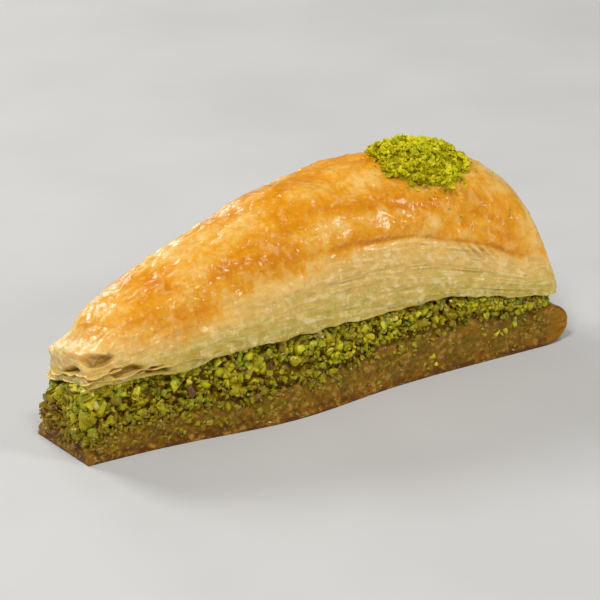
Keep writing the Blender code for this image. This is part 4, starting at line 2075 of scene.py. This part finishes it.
def stand(
    name: str, data: bpy.types.ID, target: Vector, back: Vector, distance: float
) -> bpy.types.Object:
    """Stands a lamp or a camera up, facing a target.

    Args:
        name: Its name.
        data: The lamp's or the camera's own data.
        target: The place that it faces.
        back: Unit vector from the target towards it.
        distance: How far off it stands.

    Returns:
        What stands there.
    """
    placed = bpy.data.objects.new(name, data)
    placed.location = target + back * distance
    placed.rotation_euler = (-back).to_track_quat("-Z", "Y").to_euler()
    bpy.context.scene.collection.objects.link(placed)
    return placed


@dataclass(frozen=True)
class Softbox:
    """One soft lamp, placed by its direction from the wedge in degrees; its power is in watts."""

    name: str
    azimuth: float
    elevation: float
    power: float
    size: float
    distance: float = 1.5

    def placed(self, target: Vector) -> None:
        """Puts the lamp up, facing the target.

        Args:
            target: The place that it faces.
        """
        lamp = bpy.data.lights.new(self.name, "AREA")
        lamp.shape = "SQUARE"
        lamp.size = self.size
        lamp.energy = self.power
        stand(self.name, lamp, target, direction(self.azimuth, self.elevation), self.distance)


@dataclass
class Studio:
    """Pale floor, soft lamps and the camera, whose lens and sensor are in millimetres."""

    azimuth: float = -37.8
    elevation: float = 23.2
    distance: float = 617.9 * MM
    lens: float = 146.5
    sensor_width: float = 36.0
    clip: tuple[float, float] = (0.01, 20.0)
    target: Vector = field(default_factory=lambda: Vector((1.3 * MM, 0.0, 20.16 * MM)))
    ambient: float = 0.14
    floor_reach: float = 3.0
    lamps: tuple[Softbox, ...] = (
        Softbox("key", -58, 50, 9.8, 0.36),
        Softbox("front", 30, 30, 6.0, 0.30),
        Softbox("top", 0, 66, 4.0, 0.22),
        Softbox("left", -105, 25, 1.2, 0.16),
        Softbox("rim", -165, 35, 11.0, 0.45),
        Softbox("back", 168, 13, 3.5, 0.40),
    )

    def _floor(self) -> None:
        """The plain pale floor."""
        recipe = Recipe("pale_floor")
        tone = recipe.noise(0.05, 2.0)
        colour = recipe.ramp(tone, ((0.3, (0.60, 0.595, 0.58)), (0.7, (0.63, 0.625, 0.61))))
        even = recipe.relief(tone, 0.05 * MM, 0.2)
        recipe.done(colour, recipe.grey(tone, 0.6, 0.7), even, even)
        mesh = bpy.data.meshes.new("floor")
        side = self.floor_reach
        corners = [(-side, -side, 0), (side, -side, 0), (side, side, 0), (-side, side, 0)]
        mesh.from_pydata(corners, [], [(0, 1, 2, 3)])
        mesh.materials.append(recipe.material)
        floor = bpy.data.objects.new("floor", mesh)
        floor.location.z = -0.02 * MM
        bpy.context.scene.collection.objects.link(floor)

    def _world(self) -> None:
        """Even pale light from all round."""
        world = bpy.data.worlds.new("studio")
        world.use_nodes = True
        background = world.node_tree.nodes["Background"]
        background.inputs["Color"].default_value = (1.0, 0.99, 0.97, 1.0)
        background.inputs["Strength"].default_value = self.ambient
        bpy.context.scene.world = world

    def _camera(self) -> None:
        """The camera, which looks along the wedge from its tip's side."""
        eye = bpy.data.cameras.new("camera")
        eye.lens = self.lens
        eye.sensor_width = self.sensor_width
        eye.clip_start, eye.clip_end = self.clip
        back = direction(self.azimuth, self.elevation)
        bpy.context.scene.camera = stand("camera", eye, self.target, back, self.distance)

    def made(self) -> None:
        """Sets up floor, light and camera."""
        self._floor()
        self._world()
        for lamp in self.lamps:
            lamp.placed(self.target)
        self._camera()
        view = bpy.context.scene.view_settings
        view.view_transform = "Standard"
        view.look = "None"
        LOG.info("studio: %d lamps", len(self.lamps))


def main() -> None:
    """Builds the wedge's looks in order."""
    logging.basicConfig(level=logging.INFO, format="%(name)s %(message)s")
    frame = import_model()
    LOG.info("frame: %s", ", ".join(sorted(frame["nodes"])))
    low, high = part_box(Node.LOWER.value)
    wedge = Wedge(length=high.x - low.x + 2 * LowerPastry.hair)
    browned, soaked = BrownedFinish().made(), SoakedFinish().made()
    LowerPastry(wedge).made(soaked)
    NutFilling(wedge).made()
    upper = UpperPastry(wedge)
    crust = upper.made(browned)
    SheetEdges(wedge, upper).made(browned)
    NutHeap(wedge).made(crust)
    Studio().made()


if __name__ == "__main__":
    main()
